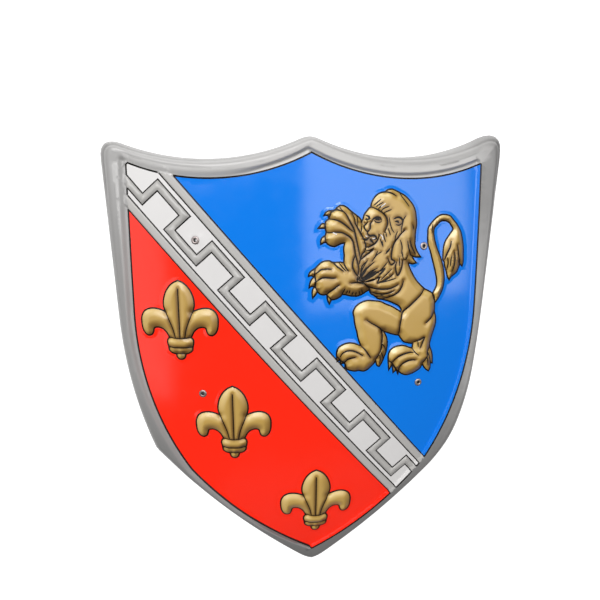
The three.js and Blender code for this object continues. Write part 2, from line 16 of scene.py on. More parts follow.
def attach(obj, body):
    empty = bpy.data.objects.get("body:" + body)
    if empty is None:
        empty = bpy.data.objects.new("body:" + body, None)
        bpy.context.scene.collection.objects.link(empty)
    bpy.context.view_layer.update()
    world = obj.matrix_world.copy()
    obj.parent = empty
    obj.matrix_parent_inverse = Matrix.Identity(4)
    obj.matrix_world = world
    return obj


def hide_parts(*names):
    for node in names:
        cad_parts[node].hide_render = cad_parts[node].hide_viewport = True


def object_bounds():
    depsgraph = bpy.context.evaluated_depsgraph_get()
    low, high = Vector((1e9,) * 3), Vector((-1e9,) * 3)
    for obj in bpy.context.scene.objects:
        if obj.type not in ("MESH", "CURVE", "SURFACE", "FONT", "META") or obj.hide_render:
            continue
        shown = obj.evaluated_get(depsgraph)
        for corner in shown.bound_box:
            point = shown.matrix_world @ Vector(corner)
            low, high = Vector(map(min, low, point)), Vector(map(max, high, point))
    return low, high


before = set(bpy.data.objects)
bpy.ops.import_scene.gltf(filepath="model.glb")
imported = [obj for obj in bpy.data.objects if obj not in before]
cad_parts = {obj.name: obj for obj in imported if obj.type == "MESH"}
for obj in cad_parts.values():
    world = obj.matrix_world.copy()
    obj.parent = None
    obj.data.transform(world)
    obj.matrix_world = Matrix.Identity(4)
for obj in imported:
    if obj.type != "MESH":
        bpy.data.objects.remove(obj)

MM = 0.001
cad_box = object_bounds()
print("CAD box in mm:", [[round(c / MM, 1) for c in corner] for corner in cad_box])

# %% [markdown]
# ## Camera
# The photograph looks down on the lying shield from just above its upper left, so the near top looks wide.
# The place and the lens were found by matching the shield's own corners, and the camera is set by its three
# axes, which is the plainest way to repeat a measured view.

# %% Camera
CAMERA_PLACE = (-0.05386, 0.14838, 0.48273)
CAMERA_RIGHT = Vector((0.99554, -0.00837, 0.09398))
CAMERA_BACK = Vector((-0.09137, 0.16285, 0.98241))
FOCAL_SHARE = 444.55 / 600

camera = bpy.data.objects.new("camera", bpy.data.cameras.new("camera"))
bpy.context.scene.collection.objects.link(camera)
back = CAMERA_BACK.normalized()
right = (CAMERA_RIGHT - back * CAMERA_RIGHT.dot(back)).normalized()
up = back.cross(right)
camera.matrix_world = Matrix.Translation(CAMERA_PLACE) @ Matrix((right, up, back)).transposed().to_4x4()
camera.data.sensor_width = 36
camera.data.lens = FOCAL_SHARE * camera.data.sensor_width
camera.data.clip_start = 0.01
bpy.context.scene.camera = camera
print("camera looks along", [round(c, 3) for c in -back])

# %% [markdown]
# ## Domed face
# The face is a shallow dome that curls down a little more towards the foot. Its height is one function of
# the place on it, so all that lies on the shield can be laid on the same face.

# %% Dome
WALL = 2.0
CROWN_HEIGHT = 46
CROWN_Y = 20
DOME_RADIUS_X = 770
DOME_RADIUS_Y = 2500
FOOT_CURL_LENGTH = 1000


def dome(x, y):
    """Height of the dome over the plane that the trimmed edge lies on."""
    q = y - CROWN_Y
    curl = np.maximum(0, -q) ** 3 / FOOT_CURL_LENGTH ** 2
    return CROWN_HEIGHT - x * x / (2 * DOME_RADIUS_X) - q * q / (2 * DOME_RADIUS_Y) - curl


def dome_normal(x, y):
    """Direction straight out of the dome."""
    slope_x = dome(x + 0.5, y) - dome(x - 0.5, y)
    slope_y = dome(x, y + 0.5) - dome(x, y - 0.5)
    return Vector((-slope_x, -slope_y, 1)).normalized()


print("dome height at the middle:", dome(0, 0))

# %% [markdown]
# ## Two outlines
# The printed field and the trimmed edge are the same kind of curve with other sizes: two hollow arcs on
# top, corners, full sides and a pointed foot. Print and edge are a little uneven on the real one, so each
# half has its own sizes. One function works out all four halves and spreads their points evenly, so that
# the border between field and edge runs smoothly.

# %% Sizes of the outlines
FIELD_RIGHT = dict(top_radius=212, valley_x=98, valley_y=195.3, corner_x=180.5, corner_round=1.5, taper=0.02,
                   bend_y=63, side_radius=330, kink_y=-109, tip_y=-219.2, foot_sagitta=6.7)
FIELD_LEFT = dict(top_radius=212, valley_x=98, valley_y=195.3, corner_x=180.6, corner_round=1.5, taper=0,
                  bend_y=63, side_radius=318, kink_y=-109, tip_y=-219.2, foot_sagitta=7.6)
EDGE_RIGHT = dict(top_radius=214.2, valley_x=93.3, valley_y=220.4, corner_x=213, corner_round=36, taper=0.106,
                  bend_y=-10, side_radius=258, kink_y=-104, tip_y=-244.28, foot_sagitta=0)
EDGE_LEFT = dict(top_radius=241.6, valley_x=105, valley_y=217.9, corner_x=210.6, corner_round=26, taper=0.051,
                 bend_y=56, side_radius=484, kink_y=-89, tip_y=-244.28, foot_sagitta=2.2)
print("tips of field and edge:", FIELD_RIGHT["tip_y"], EDGE_RIGHT["tip_y"])

# %% Half an outline
TOP_STEPS = 56
CORNER_STEPS = 8
SIDE_STEPS = 72
FOOT_STEPS = 44


def length_along(line):
    """How far along the line each of its points lies."""
    return np.concatenate([[0], np.cumsum(np.hypot(*np.diff(line, axis=0).T))])


def points_at(line, places):
    """Points of the line at these lengths along it."""
    run = length_along(line)
    return np.stack([np.interp(places, run, line[:, 0]), np.interp(places, run, line[:, 1])], 1)


def half_outline(size):
    """Right half, from the peak over the corner and down the side to the tip."""
    def top_y(x):
        rise = math.sqrt(size["top_radius"] ** 2 - (x - size["valley_x"]) ** 2)
        return size["valley_y"] + size["top_radius"] - rise

    corner_y = top_y(size["corner_x"])

    def side_x(y):
        chord = math.sqrt(size["side_radius"] ** 2 - max(0, size["bend_y"] - y) ** 2)
        bend = size["side_radius"] - chord
        return size["corner_x"] - size["taper"] * (corner_y - y) - bend

    top_end = size["corner_x"] - size["corner_round"]
    side_start = corner_y - size["corner_round"]
    points = [(top_end * i / TOP_STEPS, top_y(top_end * i / TOP_STEPS)) for i in range(TOP_STEPS)]
    a, b, c = (top_end, top_y(top_end)), (size["corner_x"], corner_y), (side_x(side_start), side_start)
    for i in range(CORNER_STEPS + 1):
        t = i / CORNER_STEPS
        points.append(tuple((1 - t) ** 2 * a[k] + 2 * t * (1 - t) * b[k] + t * t * c[k] for k in (0, 1)))
    flank = [points.pop()]
    for i in range(1, SIDE_STEPS + 1):
        y = side_start + (size["kink_y"] - side_start) * i / SIDE_STEPS
        flank.append((side_x(y), y))
    kink_x, drop = side_x(size["kink_y"]), size["kink_y"] - size["tip_y"]
    length = math.hypot(kink_x, drop)
    for i in range(1, FOOT_STEPS + 1):
        t = i / FOOT_STEPS
        bulge = 4 * size["foot_sagitta"] * t * (1 - t)
        flank.append((kink_x * (1 - t) + bulge * drop / length,
                      size["kink_y"] - drop * t - bulge * kink_x / length))
    flank = np.array(flank)
    flank = points_at(flank, np.linspace(0, length_along(flank)[-1], len(flank)))
    return np.vstack([points, flank])


def outline(right_sizes, left_sizes):
    """Whole outline, counter-clockwise seen from the front, starting at the tip."""
    left_half = half_outline(left_sizes)[1:-1] * (-1, 1)
    return np.vstack([half_outline(right_sizes)[::-1], left_half])


field_line = outline(FIELD_RIGHT, FIELD_LEFT)
print("points round the field:", len(field_line))

# %% Trimmed edge
BOX_GAP = 0.02
PEAK_ROUND = 9
PEAK_DROP = PEAK_ROUND / 4
TIP_ROUND = 14
TIP_LIFT = TIP_ROUND * 0.32
KINK_ROUND = 24
KINK_PASSES = 30
KINK_PULL = 0.6


def closeness(distance, reach):
    """1 at no distance, falling evenly to 0 at the reach."""
    return np.clip(1 - np.abs(distance) / reach, 0, 1)


cad_low, cad_high = (np.array(corner[:2]) / MM for corner in cad_box)
edge_line = np.clip(outline(EDGE_RIGHT, EDGE_LEFT), cad_low + BOX_GAP, cad_high - BOX_GAP)
at_peak = closeness(edge_line[:, 0], PEAK_ROUND) * (edge_line[:, 1] > 0)
edge_line[:, 1] -= PEAK_DROP * at_peak ** 2
at_tip = closeness(edge_line[:, 0], TIP_ROUND) * (edge_line[:, 1] < 0)
edge_line[:, 1] += TIP_LIFT * at_tip ** 2
at_kink = closeness(edge_line[:, 1:] - EDGE_RIGHT["kink_y"], KINK_ROUND) * (edge_line[:, :1] > 0)
for _ in range(KINK_PASSES):
    between = (np.roll(edge_line, 1, axis=0) + np.roll(edge_line, -1, axis=0)) / 2
    edge_line += (between - edge_line) * at_kink * KINK_PULL
print("edge from", edge_line.min(0).round(1), "to", edge_line.max(0).round(1))

# %% [markdown]
# ## Drawing with a pen
# Every figure on the shield is drawn the way an engraver would, as strokes through a few places. A stroke
# is written as "x,y x,y" in millimetres, and an exclamation mark makes a corner. The helper below reads
# such a stroke and runs a smooth curve through it, so a handful of places is enough for a round form.

# %% Pen strokes
STROKE_STEP = 1.4


def pen(text, place=(0, 0), mirror=1):
    """Reads a stroke: an array of x, y and 1 for a corner."""
    knots = []
    for word in text.split():
        x, y = word.rstrip("!").split(",")
        knots.append((place[0] + mirror * float(x), place[1] + float(y), float(word.endswith("!"))))
    return np.array(knots)


def curve(knots, closed=False, step=STROKE_STEP):
    """Smooth curve through the knots, with even steps and sharp corners."""
    count = len(knots)
    spans = count if closed else count - 1
    points = []
    for i in range(spans):
        a, b = knots[i], knots[(i + 1) % count]
        before = knots[i - 1] if (closed or i > 0) and not a[2] else a
        after = knots[(i + 2) % count] if (closed or i + 2 < count) and not b[2] else b
        a, b, before, after = a[:2], b[:2], before[:2], after[:2]
        length = math.dist(a, b)
        tangent_a = (b - before) * length / (length + math.dist(before, a))
        tangent_b = (after - a) * length / (length + math.dist(after, b))
        steps = max(1, round(length / step))
        for t in np.arange(steps) / steps:
            points.append((2 * t ** 3 - 3 * t ** 2 + 1) * a + (t ** 3 - 2 * t ** 2 + t) * tangent_a
                          + (3 * t ** 2 - 2 * t ** 3) * b + (t ** 3 - t ** 2) * tangent_b)
    if not closed:
        points.append(knots[-1][:2])
    return np.array(points)


def inside(polygon, xy):
    """Which of the points lie inside the closed polygon."""
    result = np.zeros(len(xy), bool)
    near = np.all((xy >= polygon.min(0)) & (xy <= polygon.max(0)), axis=1)
    x, y = xy[near, 0], xy[near, 1]
    hit = np.zeros(len(x), bool)
    for (ax, ay), (bx, by) in zip(polygon, np.roll(polygon, -1, axis=0)):
        if ay != by:
            hit ^= ((ay > y) != (by > y)) & (x < (bx - ax) * (y - ay) / (by - ay) + ax)
    result[near] = hit
    return result


# %% [markdown]
# ## Fleur-de-lis
# One fleur-de-lis is 81 mm tall and even about its middle, so only its left half is drawn and the other
# half is its mirror image. It has a pointed petal, two hooked side lobes, a collar of two rolls and a small
# knob.

# %% Fleur-de-lis drawing
FLEUR_PLACES = [(-134.2, 56.2), (-83.5, -53.3), (3.4, -152.4)]
FLEUR_PETAL = "0,40.5! 5.5,37.8 10.2,33.2 13.5,27.3 15.4,20.5 15.5,14.5 14.1,9.3!"
FLEUR_LOBE = ("14.1,9.3! 20.8,11.7 27,12.5 32.4,11.4 36.5,8.3 38.7,3 38.9,-3 38,-9 35.7,-13.5 32.4,-15.6 "
              "28.8,-14.6 27,-11 26.2,-8 22.5,-7 17.8,-8.4 13.9,-12.1 11.2,-17.5!")
FLEUR_FOOT = "11.2,-17.5! 13,-19.8 13.4,-22.7 12.4,-27.5! 11.8,-31 8.8,-33.6 5,-34.8! 4,-38.2 2.2,-40 0,-40.5"
FLEUR_FOLDS = {
    "petal side": ("14.1,9.3 11.6,3.8 8.7,-3.4 6.5,-9.8 4.8,-17.8", 1.1),
    "petal middle": ("0,32.5 0,20 0,5 0,-8 0,-18.4", 1.2),
    "collar top": ("11.2,-17.5 6,-18.1 0,-18.5", 1.0),
    "collar middle": ("12.4,-27.5 6,-27.9 0,-28", 1.2),
    "knob top": ("5,-34.8 2.5,-34.2 0,-34", 1.0),
}


def fleur_outline(place):
    half = [pen(part, place)[:-1] for part in (FLEUR_PETAL, FLEUR_LOBE, FLEUR_FOOT)]
    half = np.concatenate(half + [pen("0,-40.5", place)])
    other = half[1:-1][::-1].copy()
    other[:, 0] = 2 * place[0] - other[:, 0]
    return curve(np.concatenate([half, other]), closed=True)


print("fleur outline points:", len(fleur_outline(FLEUR_PLACES[0])))

# %% [markdown]
# ## Lion rampant
# The lion is drawn about the middle of its 194 mm height: one outline for the body and one for the tail.
# The strokes that part its toes, limbs and locks of hair are gathered by the place that they belong to,
# with a semicolon between two strokes. Long folds are pressed in more deeply than hairs, as on the mould.

# %% Lion outline
LION_PLACE = (80, 88)
LION_OUTLINE = (
    "-21,79! -21,81 -19,86 -15.5,90.5 -11,93 -6,94! -4.5,95.5 -1.5,96.5 1.5,96.5 5.5,95 9.5,93 14.5,90.5 "
    "19.5,86 24,80.5 26.5,74.5 27.5,68 28,62 27,54.5 26.5,47.5 26.5,45.5 26.5,41.5 28,36 30.5,32 33,28.5! "
    "27.5,28.5 23,30! 25,26.5 28.5,22.5! 24,21.5 19.5,22.5 24.5,11 30.5,2.5 38,-4.5! 47,-9.5 49.5,-13.5 "
    "50.5,-19.5 50.5,-24.5 50.5,-29.5! 52,-34.5 52.5,-41 51,-47.5 49,-53.5 47.5,-58.5 46.5,-63 46.5,-67 "
    "48.5,-71.5 50,-77.5 50.5,-86! 48,-85.5! 48,-90.5 46.5,-94.5! 44,-93 41,-90 38.5,-86! 36.5,-90 32,-93 "
    "26.5,-95.5 19.5,-96.5 14,-94 11.5,-91.5! 11,-95.5! 9,-90! 5.5,-93! 4,-83.5! 0.5,-90! -0.5,-78.5 "
    "-0.5,-73.5 1,-69 5,-65.5 10.5,-64 16.5,-64 22,-66 26,-67.5! 26.5,-62.5! 21.5,-61.5 16.5,-60 13,-56 "
    "10.5,-52.5! 5.5,-51.5 -0.5,-49.5 -6,-47.5! -3,-53.5 -2,-58 -2,-64 -3,-69.5 -4.5,-73.5 -7,-80 -10,-85! "
    "-12.5,-84 -14.5,-78! -15.5,-80.5 -19.5,-84.5 -23,-87.5 -27,-89 -32.5,-88 -36,-88.5 -41.5,-87.5 "
    "-45,-86! -47,-85! -47.5,-79.5 -51.5,-80! -52.5,-75.5! -55.5,-77! -56,-71.5 -56,-67.5 -54,-62.5 "
    "-49.5,-59.5 -44,-58 -38,-58.5 -33,-60.5 -30.5,-61.5! -33.5,-53.5 -35,-46.5 -37,-39 -38,-32 -39,-26 "
    "-37.5,-22 -35,-19 -30,-16 -24,-14.5 -17.5,-15 -10.5,-16 -4,-19 3,-22 9.5,-26 12,-27.5! 12.5,-25! "
    "10,-21.5 4.5,-18.5 -1,-16 -7.5,-14 -12.5,-13 -16.5,-10 -20.5,-7.5 -22.5,-3.5! -26,-5.5 -30,-8 "
    "-34.5,-9.5 -39,-9.5 -43,-9 -46.5,-8 -50.5,-7.5! -52,-9.5 -55.5,-11.5 -59,-12.5 -61.5,-12.5! "
    "-63.5,-17! -65.5,-12.5 -66,-7! -69.5,-7.5 -73,-6.5 -75.5,-4! -77,-6.5 -80.5,-10.5! -81,-6 -80.5,-2 "
    "-78.5,1! -81.5,1.5 -84,0! -83.5,3.5 -82,7.5 -79,11! -82,12 -84.5,11.5! -84,14 -82,16.5 -77.5,19.5! "
    "-75,22 -71.5,25 -67.5,26.5 -63.5,26.5 -60,25 -53,25 -49,24.5! -48.5,31.5 -49,38 -48,44! -51,43.5 "
    "-54.5,42 -58,40.5 -61.5,41 -64.5,42.5 -67,45! -68.5,44.5 -72,43! -72,46.5 -70.5,49.5 -67.5,51.5! "
    "-66.5,54.5! -67.5,58.5! -70.5,58.5 -74.5,58.5! -72.5,61 -70.5,63 -67.5,63! -67,65 -63.5,68! -65,71 "
    "-68.5,71! -67,73.5 -64,75.5 -60.5,75.5 -57.5,76.5 -55,79 -52.5,80.5 -49.5,80.5 -46,79 -42.5,76 "
    "-38.5,73 -34.5,70 -31.5,67 -30,63.5! -31,64.5 -29.5,66.5 -28.5,70 -27.5,72.5 -25,75.5 -23,78"
)
TAIL_OUTLINE = (
    "47.5,-10! 51.5,-3 52,3.5 50,13 47,23.5 44,33.5 41,43 40.5,52 41,58 44,62.5 49,67.5 54.5,71 60.5,71.5 "
    "66,70 70.5,65.5 75,60.5 79,54 81,47.5 82.5,39 83,29 83,21.5 82,17.5! 79,20! 77.5,15.5 75,11 70,7.5! "
    "68.5,6 67,3.5! 64.5,7 63,12.5 61,18 60,23 58.5,25! 58.5,30.5 59,38 61,44.5 64.5,49.5 67.5,53.5 "
    "69.5,56.5 68,59.5 64.5,63.5 60.5,65 56,65 52,62 48,57.5 47.5,52 49,44.5 52,36 56,27 59,18 60.5,9.5 "
    "60.8,3 59.5,-5 55.5,-14 51,-20!"
)
lion_line = curve(pen(LION_OUTLINE, LION_PLACE), closed=True)
tail_line = curve(pen(TAIL_OUTLINE, LION_PLACE), closed=True)
fleur_lines = [fleur_outline(place) for place in FLEUR_PLACES]
figure_lines = [*fleur_lines, lion_line, tail_line]
print("lion outline points:", len(lion_line), "tail:", len(tail_line))

# %% Lion folds
LION_FOLDS = {
    "hairline": "-21,79 -18,78 -13.5,75.5 -9,72.5 -6,69 -4.5,64 -5,60 -6.5,56.5 -7.5,53.5",
    "crown": "-6,94 -1.5,93 2,91.5 5,89.5",
    "nose": (
        "-20.5,65 -22.5,62 -22.5,58.5 -23.5,56 -25.5,55; -24.5,64.5 -26.5,62.5 -28.5,60 -28,57.5 -25.5,55"
    ),
    "jaw": "-13,50.5 -14.5,47 -17,43.5 -21,41 -24.5,39.5 -27,40",
    "mane": (
        "14.5,56 10.5,53 7,48.5 3.5,44.5 1,38.5 0,27.5 3.5,25 2.5,22.5 -0.5,21.5 -4,28.5; 20.5,45.5 "
        "21.5,40.5 24,36 27,31.5"
    ),
    "lock on the breast": "5.5,24.5 4.5,18 7,10.5 11,18 12.5,26.5",
    "breast": "-31.5,4.5 -21,6 -12.5,9 -15,3.5 -9,5 -2,8.5 2.5,12.5",
    "ribs": "-27.5,2 -19.5,-1.5 -10,-3 -0.5,-2.5 8,1; -20,-6 -13,-8 -3.5,-7.5 3.5,-5",
    "flank": "13.5,5 11.5,-1.5 7.5,-7 -2,-11.5 -8.5,-13.5",
    "haunch": "38,-5 30.5,-13 22,-20.5 14.5,-27.5 12,-34.5 10.5,-42.5 10.5,-52.5",
    "front shin": (
        "-25.5,-34 -20.5,-37.5 -14.5,-41 -9.5,-45 -8,-50 -8.5,-56.5 -9.5,-66 -12.5,-73 -14.5,-78; -9.5,-45 "
        "-6,-47.5; -30.5,-61.5 -26.5,-65.5 -23,-70.5 -20.5,-74"
    ),
    "front foot": (
        "-52.5,-72 -49.5,-67.5 -44.5,-65.5 -39,-66 -33.5,-68.5 -29,-71.5; -47.5,-78.5 -45,-75 -41.5,-73.5 "
        "-36.5,-73; -55.5,-71.5 -52.5,-75.5 -49.5,-78 -47.5,-79.5 -45,-86"
    ),
    "hind foot": (
        "3.5,-82 7,-77 12,-74 18,-72 24,-71.5 27.5,-72; 11.5,-87.5 14,-83.5 19.5,-80.5 25,-79.5 29.5,-80; "
        "-0.5,-79 3.5,-82 6.5,-86.5 9,-90 11.5,-91.5 11.5,-87.5"
    ),
    "hind leg": (
        "26.5,-61.5 29.5,-60 35,-57.5 38.5,-56 36.5,-62 34.5,-67.5; 40,-40.5 45,-36 50,-30.5; 46.5,-67.5 "
        "43.5,-72 43,-77 40,-82 38.5,-86"
    ),
    "low paw": (
        "-78,13.5 -75.5,15.5 -72,18 -67.5,18.5 -61.5,18.5; -77,6 -74,8.5 -70.5,10 -66,10 -61.5,9.5 "
        "-57.5,9.5; -66,-7 -62.5,-3.5 -59,-1 -55.5,1.5 -53.5,2.5; -77.5,19 -78.5,15 -78,10.5 -77.5,6.5 "
        "-78,3.5 -77.5,0 -75.5,-4"
    ),
    "low arm": (
        "-59.5,24.5 -55.5,20.5 -51.5,17.5 -49.5,16; -49,24.5 -47,19.5 -44.5,16; -42,4 -36.5,4.5 -32,4 "
        "-28.5,3 -25,0.5 -22.5,-2 -20.5,-6"
    ),
    "cuffs": (
        "-38,31 -40,26 -40.5,21 -39,16.5 -36.5,12.5 -35,11; -66.5,54.5 -63.5,54 -59.5,54.5 -55.5,54.5 "
        "-51,54 -46,51.5 -42.5,49 -40,45 -38.5,38 -37.5,32 -35.5,25 -34.5,21 -34,17 -35,11.5"
    ),
    "high arm": (
        "-52.5,78.5 -50.5,75.5 -47,72 -44.5,67.5 -42,62.5 -39.5,58 -38,53 -36.5,46.5 -35,40 -33.5,33.5 "
        "-32.5,27.5; -40.5,73 -38.5,68.5 -37.5,63 -35.5,59 -32.5,53.5 -30,49 -28,44.5 -27,40 -28,35.5 "
        "-31,32 -32.5,27 -34,22.5"
    ),
    "armpit": "-32,27.5 -25.5,32.5 -19,37",
    "high paw": (
        "-63.5,69 -62,73 -59,75.5 -56,76.5 -52.5,75.5 -49,74; -64,67.5 -59.5,67 -54.5,65.5 -50,63 "
        "-45.5,59.5 -42,56.5 -39.5,55; -60.5,75.5 -63.5,69 -64,67.5 -67,65 -67.5,61.5 -67.5,58 -66.5,54.5 "
        "-67.5,51.5 -67.5,48 -67,45"
    ),
    "tail tuft": (
        "67,44.5 65.5,38 62.5,31 60.5,25; 70.5,33 71.5,27 71,19.5 69,12.5; 74.5,39.5 75.5,31.5 77,24.5 "
        "79,20"
    ),
}


def lion_strokes(drawing):
    """The curves of a part of the lion's drawing."""
    texts = [text for place in drawing.values() for text in place.split(";")]
    return [curve(pen(text, LION_PLACE)) for text in texts]


print("folds:", len(lion_strokes(LION_FOLDS)))

# %% Lion hairs
LION_HAIRS = {
    "forelock": (
        "-9,73 -5.5,74.5 -0.5,76.5; -18.5,80.5 -14.5,84 -11.5,86.5; -16.5,79 -13,81.5 -9,83.5; -14.5,77 "
        "-12,79 -8.5,81; -11.5,75 -8.5,77.5 -3,79.5"
    ),
    "nape": "9,93 11.5,88.5 15,84 18.5,79.5",
    "eyes": "-18.6,65.9 -16.9,64.2 -13.9,63.6 -10.9,64.7; -27.5,66.5 -26,67.5 -25.5,65",
    "nostrils": "-28,56.7 -25.4,54.7 -23,56.4",
    "beard": "-29,46.5 -27.5,43.5 -27.5,40.5 -27,37; -27,36 -23,36.5 -18.5,39; -17.8,29.4 -14.8,35.6",
    "cheek": "-14.1,52.9 -13.2,49.8; -12.6,47.5 -11.3,45.2; -10.4,45.8 -9.2,40.6",
    "ear": "10.3,62.3 7.3,60.9 4.2,61.5",
    "mane low": "-6.4,32.6 -1.9,37.1; 8.8,20.1 8.4,28.8",
    "breast shade": "-10.9,6.8 -5.5,11.8 0.2,17.2; -13.4,11.5 -13.6,7.4 -15.4,3.4; -12.1,3.6 -4.2,5.4 5,7.7",
    "behind the ear": "15,70.5 12.5,67 11.5,63.5 10.5,59.5 10,54",
    "mane": (
        "6,55 4,50 3,45; -3,69 -2,63 0,57 2.5,53.5; -4,58 -2.5,54 -1.5,51; -6.5,54 -5.5,49.5; -9,53 "
        "-8,48.5 -6.5,44.5; -12.5,48 -10.5,43 -9,39.5; 9,46.5 11,39.5 10.5,32.5; 17,44.5 18,38.5 20.5,32; "
        "22.5,62 24,57; -1.5,38.5 -6,34; 17,45.5 18.5,38 21,31.5 23,29.5"
    ),
    "locks on the breast": "17.5,31 15.5,26.5 13,27; 11,35 12,29.5 13,27",
    "breast": (
        "-34,6 -31,17 -25,27; -33,6.5 -27,17 -18,25; -32,6.5 -22.5,15 -14.5,18.5; -33,5 -21,10 -10.5,17.5; "
        "-10.5,35 -16,31.5 -21,25; -4,25 -8,20 -14.5,13.5"
    ),
    "rib": "-15,-10.5 -8,-9.5",
    "front heel": "-8.5,-60 -5,-64 -3.5,-68.5; -9.5,-69 -7,-73.5 -6,-77.5; -11,-71.5 -10,-76 -10,-82",
    "hind heel": (
        "26,-67.5 29,-72 33,-75; 31.5,-60 32,-66; 43.5,-72 46,-79 48.5,-85.5; 42.5,-77 44,-83.5 45.5,-88"
    ),
    "low wrist": "-66,-7 -64,-10 -61.5,-12.5; -53.5,24 -50,19.5 -47,16",
    "arm fringe": (
        "-48,-1 -49.5,-4.5 -50.5,-7.5; -45,-3 -46.5,-7; -43,-2.5 -43.5,-6.5; -39.5,-4.5 -40.5,-8.5; "
        "-36.5,-5 -36.5,-9; -33.5,-4 -32.5,-8; -31,-2.5 -29.5,-6.5"
    ),
    "elbow": "-35.5,5 -36,8 -34.5,11.5",
    "high wrist": "-35.5,69.5 -35,65.5 -35.5,61.5; -30,63.5 -31,59.5 -32,54.5",
    "armpit": (
        "-32,12 -32,17 -30.5,21.5 -25.5,26; -30.5,11 -28,14.5 -25.5,19 -19.5,24; -30,8.5 -25,12 -18,16.5; "
        "-28.5,4.5 -23,6.5 -17.5,8"
    ),
    "tail": "63,27.5 64,22 63.5,14.5; 67.5,29.5 66.5,24 66.5,18; 45.5,61.5 45,56.5 45.5,53",
}
print("hairs:", len(lion_strokes(LION_HAIRS)))

# %% Lion face
LION_BOLD = {
    "eyes": (
        "-20.7,66.2 -18.7,67.8 -15.7,68.9 -12.7,68.4 -11.2,66.4; -17.2,66.6 -15,66.9 -12.8,66.3; "
        "-26.3,70.7 -24,69.8 -23.4,67.9 -25.1,66.5"
    ),
    "muzzle": (
        "-30.4,49.4 -28.6,47.4 -26.2,47.1 -23.9,49.1; -25.4,54.7 -25.4,52.7 -22.7,50.7 -20,51.1 -17.1,50.3 "
        "-16.5,48.1 -18.5,47; -22.7,47.6 -21.2,45.6 -19.4,43.9"
    ),
    "ear": "2.3,67.2 6,68.8 9.6,67.8 11.6,64.8 10.3,62.3; 3.6,64.6 6.3,64.6 7.2,63.2",
    "breast": (
        "-34.9,7.1 -30.8,13.1 -26.1,19.3; -33.1,6.2 -22.4,10.6 -11.6,16 -6.8,18.2; -31.9,8.5 -26,10.6 "
        "-16.4,15.6; -14,10.3 -10.4,14 -6.5,17.9"
    ),
}
# White print for a tooth and a whisker, and painted highlights: a glint on the muzzle, on the forelock and on
# the paw.
LION_WHITES_AND_GLINTS = {
    "mouth": "-20.4,48.3 -18.8,48 -17.6,48.4; -27.6,51 -25.8,49.9; -12,52 -9.9,49.7 -9.6,46.9",
    "forelock": "-11,79.5 -7,82.5",
    "paw": "-60,54 -56.5,52.6",
}
print("bold strokes:", len(lion_strokes(LION_BOLD)), "and pale ones:", len(lion_strokes(LION_WHITES_AND_GLINTS)))

# %% [markdown]
# ## Bend and meander
# The bend is a straight band across the field, so its places are easiest to give along it and across it.
# The panel is white, the two bands and the meander's ribs are silver, and each edge is a small bevel.

# %% Bend
BEND_ANGLE = math.radians(-49.6)
BEND_OFFSET = -1.5
BEND_WIDTH = 56
BAND_WIDTH = 9
BAND_RISE = 1.6
PANEL_RISE = 0.6
EDGE_BEVEL = 1.3
MEANDER_PITCH = 78.6
MEANDER_START = -162.9
MEANDER_SWING = 10.3
MEANDER_RIB = 8
BEND_REACH = 260
ALONG = np.array([math.cos(BEND_ANGLE), math.sin(BEND_ANGLE)])
ACROSS = np.array([-ALONG[1], ALONG[0]])
PANEL_EDGE = BEND_WIDTH / 2 - BAND_WIDTH
MEANDER_TURNS = range(-4, 12)


def to_bend(xy):
    """Places on the shield as along and across the bend."""
    return xy @ ALONG, xy @ ACROSS - BEND_OFFSET


def from_bend(t, n):
    return np.outer(np.atleast_1d(t), ALONG) + np.outer(np.atleast_1d(n) + BEND_OFFSET, ACROSS)


def meander_corners(shift):
    """Corners of the meander's middle line, moved sideways by the shift, as along and across places."""
    corners = []
    half = MEANDER_PITCH / 2
    for k in MEANDER_TURNS:
        level = -MEANDER_SWING if k % 2 == 0 else MEANDER_SWING
        side = -shift if k % 2 == 0 else shift
        t = MEANDER_START + k * half
        corners += [(t + side, level + shift), (t + side, -level + shift)]
    return corners


def rib_distance(t, n):
    """How deep a place lies inside the nearest meander rib; negative outside."""
    corners = meander_corners(0)
    best = np.full(len(t), -np.inf)
    for (t0, n0), (t1, n1) in zip(corners, corners[1:]):
        out_t = np.maximum(np.maximum(min(t0, t1) - t, t - max(t0, t1)), 0)
        out_n = np.maximum(np.maximum(min(n0, n1) - n, n - max(n0, n1)), 0)
        best = np.maximum(best, MEANDER_RIB / 2 - np.maximum(out_t, out_n))
    return best


def ramp(value, width):
    """Smooth rise from 0 to 1 while the value goes from 0 to the width."""
    share = np.clip(value / width, 0, 1)
    return share * share * (3 - 2 * share)


def bend_rise(xy):
    """Height of the bend over the dome."""
    t, n = to_bend(xy)
    from_edge = BEND_WIDTH / 2 - np.abs(n)
    band = np.minimum(from_edge, np.abs(n) - PANEL_EDGE)
    panel = PANEL_RISE * ramp(from_edge, EDGE_BEVEL)
    raised = np.maximum(band, rib_distance(t, n))
    return panel + (BAND_RISE - PANEL_RISE) * ramp(raised, EDGE_BEVEL)


print("bend is", BEND_WIDTH, "mm wide at", round(math.degrees(BEND_ANGLE), 1), "degrees")

# %% [markdown]
# ## Ink
# Thin dark lines are printed round every colour and along every fold. Each line becomes a narrow ribbon of
# faces in the sheet itself, so it stays sharp from close by and lies in the same surface as the colours.

# %% Ink lines
OUTLINE_INK = 1.6
FIELD_INK = 1.7
BEND_INK = 1.3
FOLD_INK = 1.7
HAIR_INK = 1.35
BOLD_INK = 2.2
WHITE_AND_GLINT_INK = 0.9
TAPERED_END = 0.35
ink_lines = []


def ink(points, width, closed=False, tapered=False, depth=1.0):
    """Notes a line of ink: its middle, its half width at each point and how deeply it is pressed in."""
    share = np.linspace(0, 1, len(points))
    half = np.full(len(points), width / 2)
    if tapered:
        half *= TAPERED_END + (1 - TAPERED_END) * np.sqrt(np.sin(np.pi * np.clip(share, 0.02, 0.98)))
    ink_lines.append(dict(points=np.asarray(points), half=half, closed=closed, depth=depth))


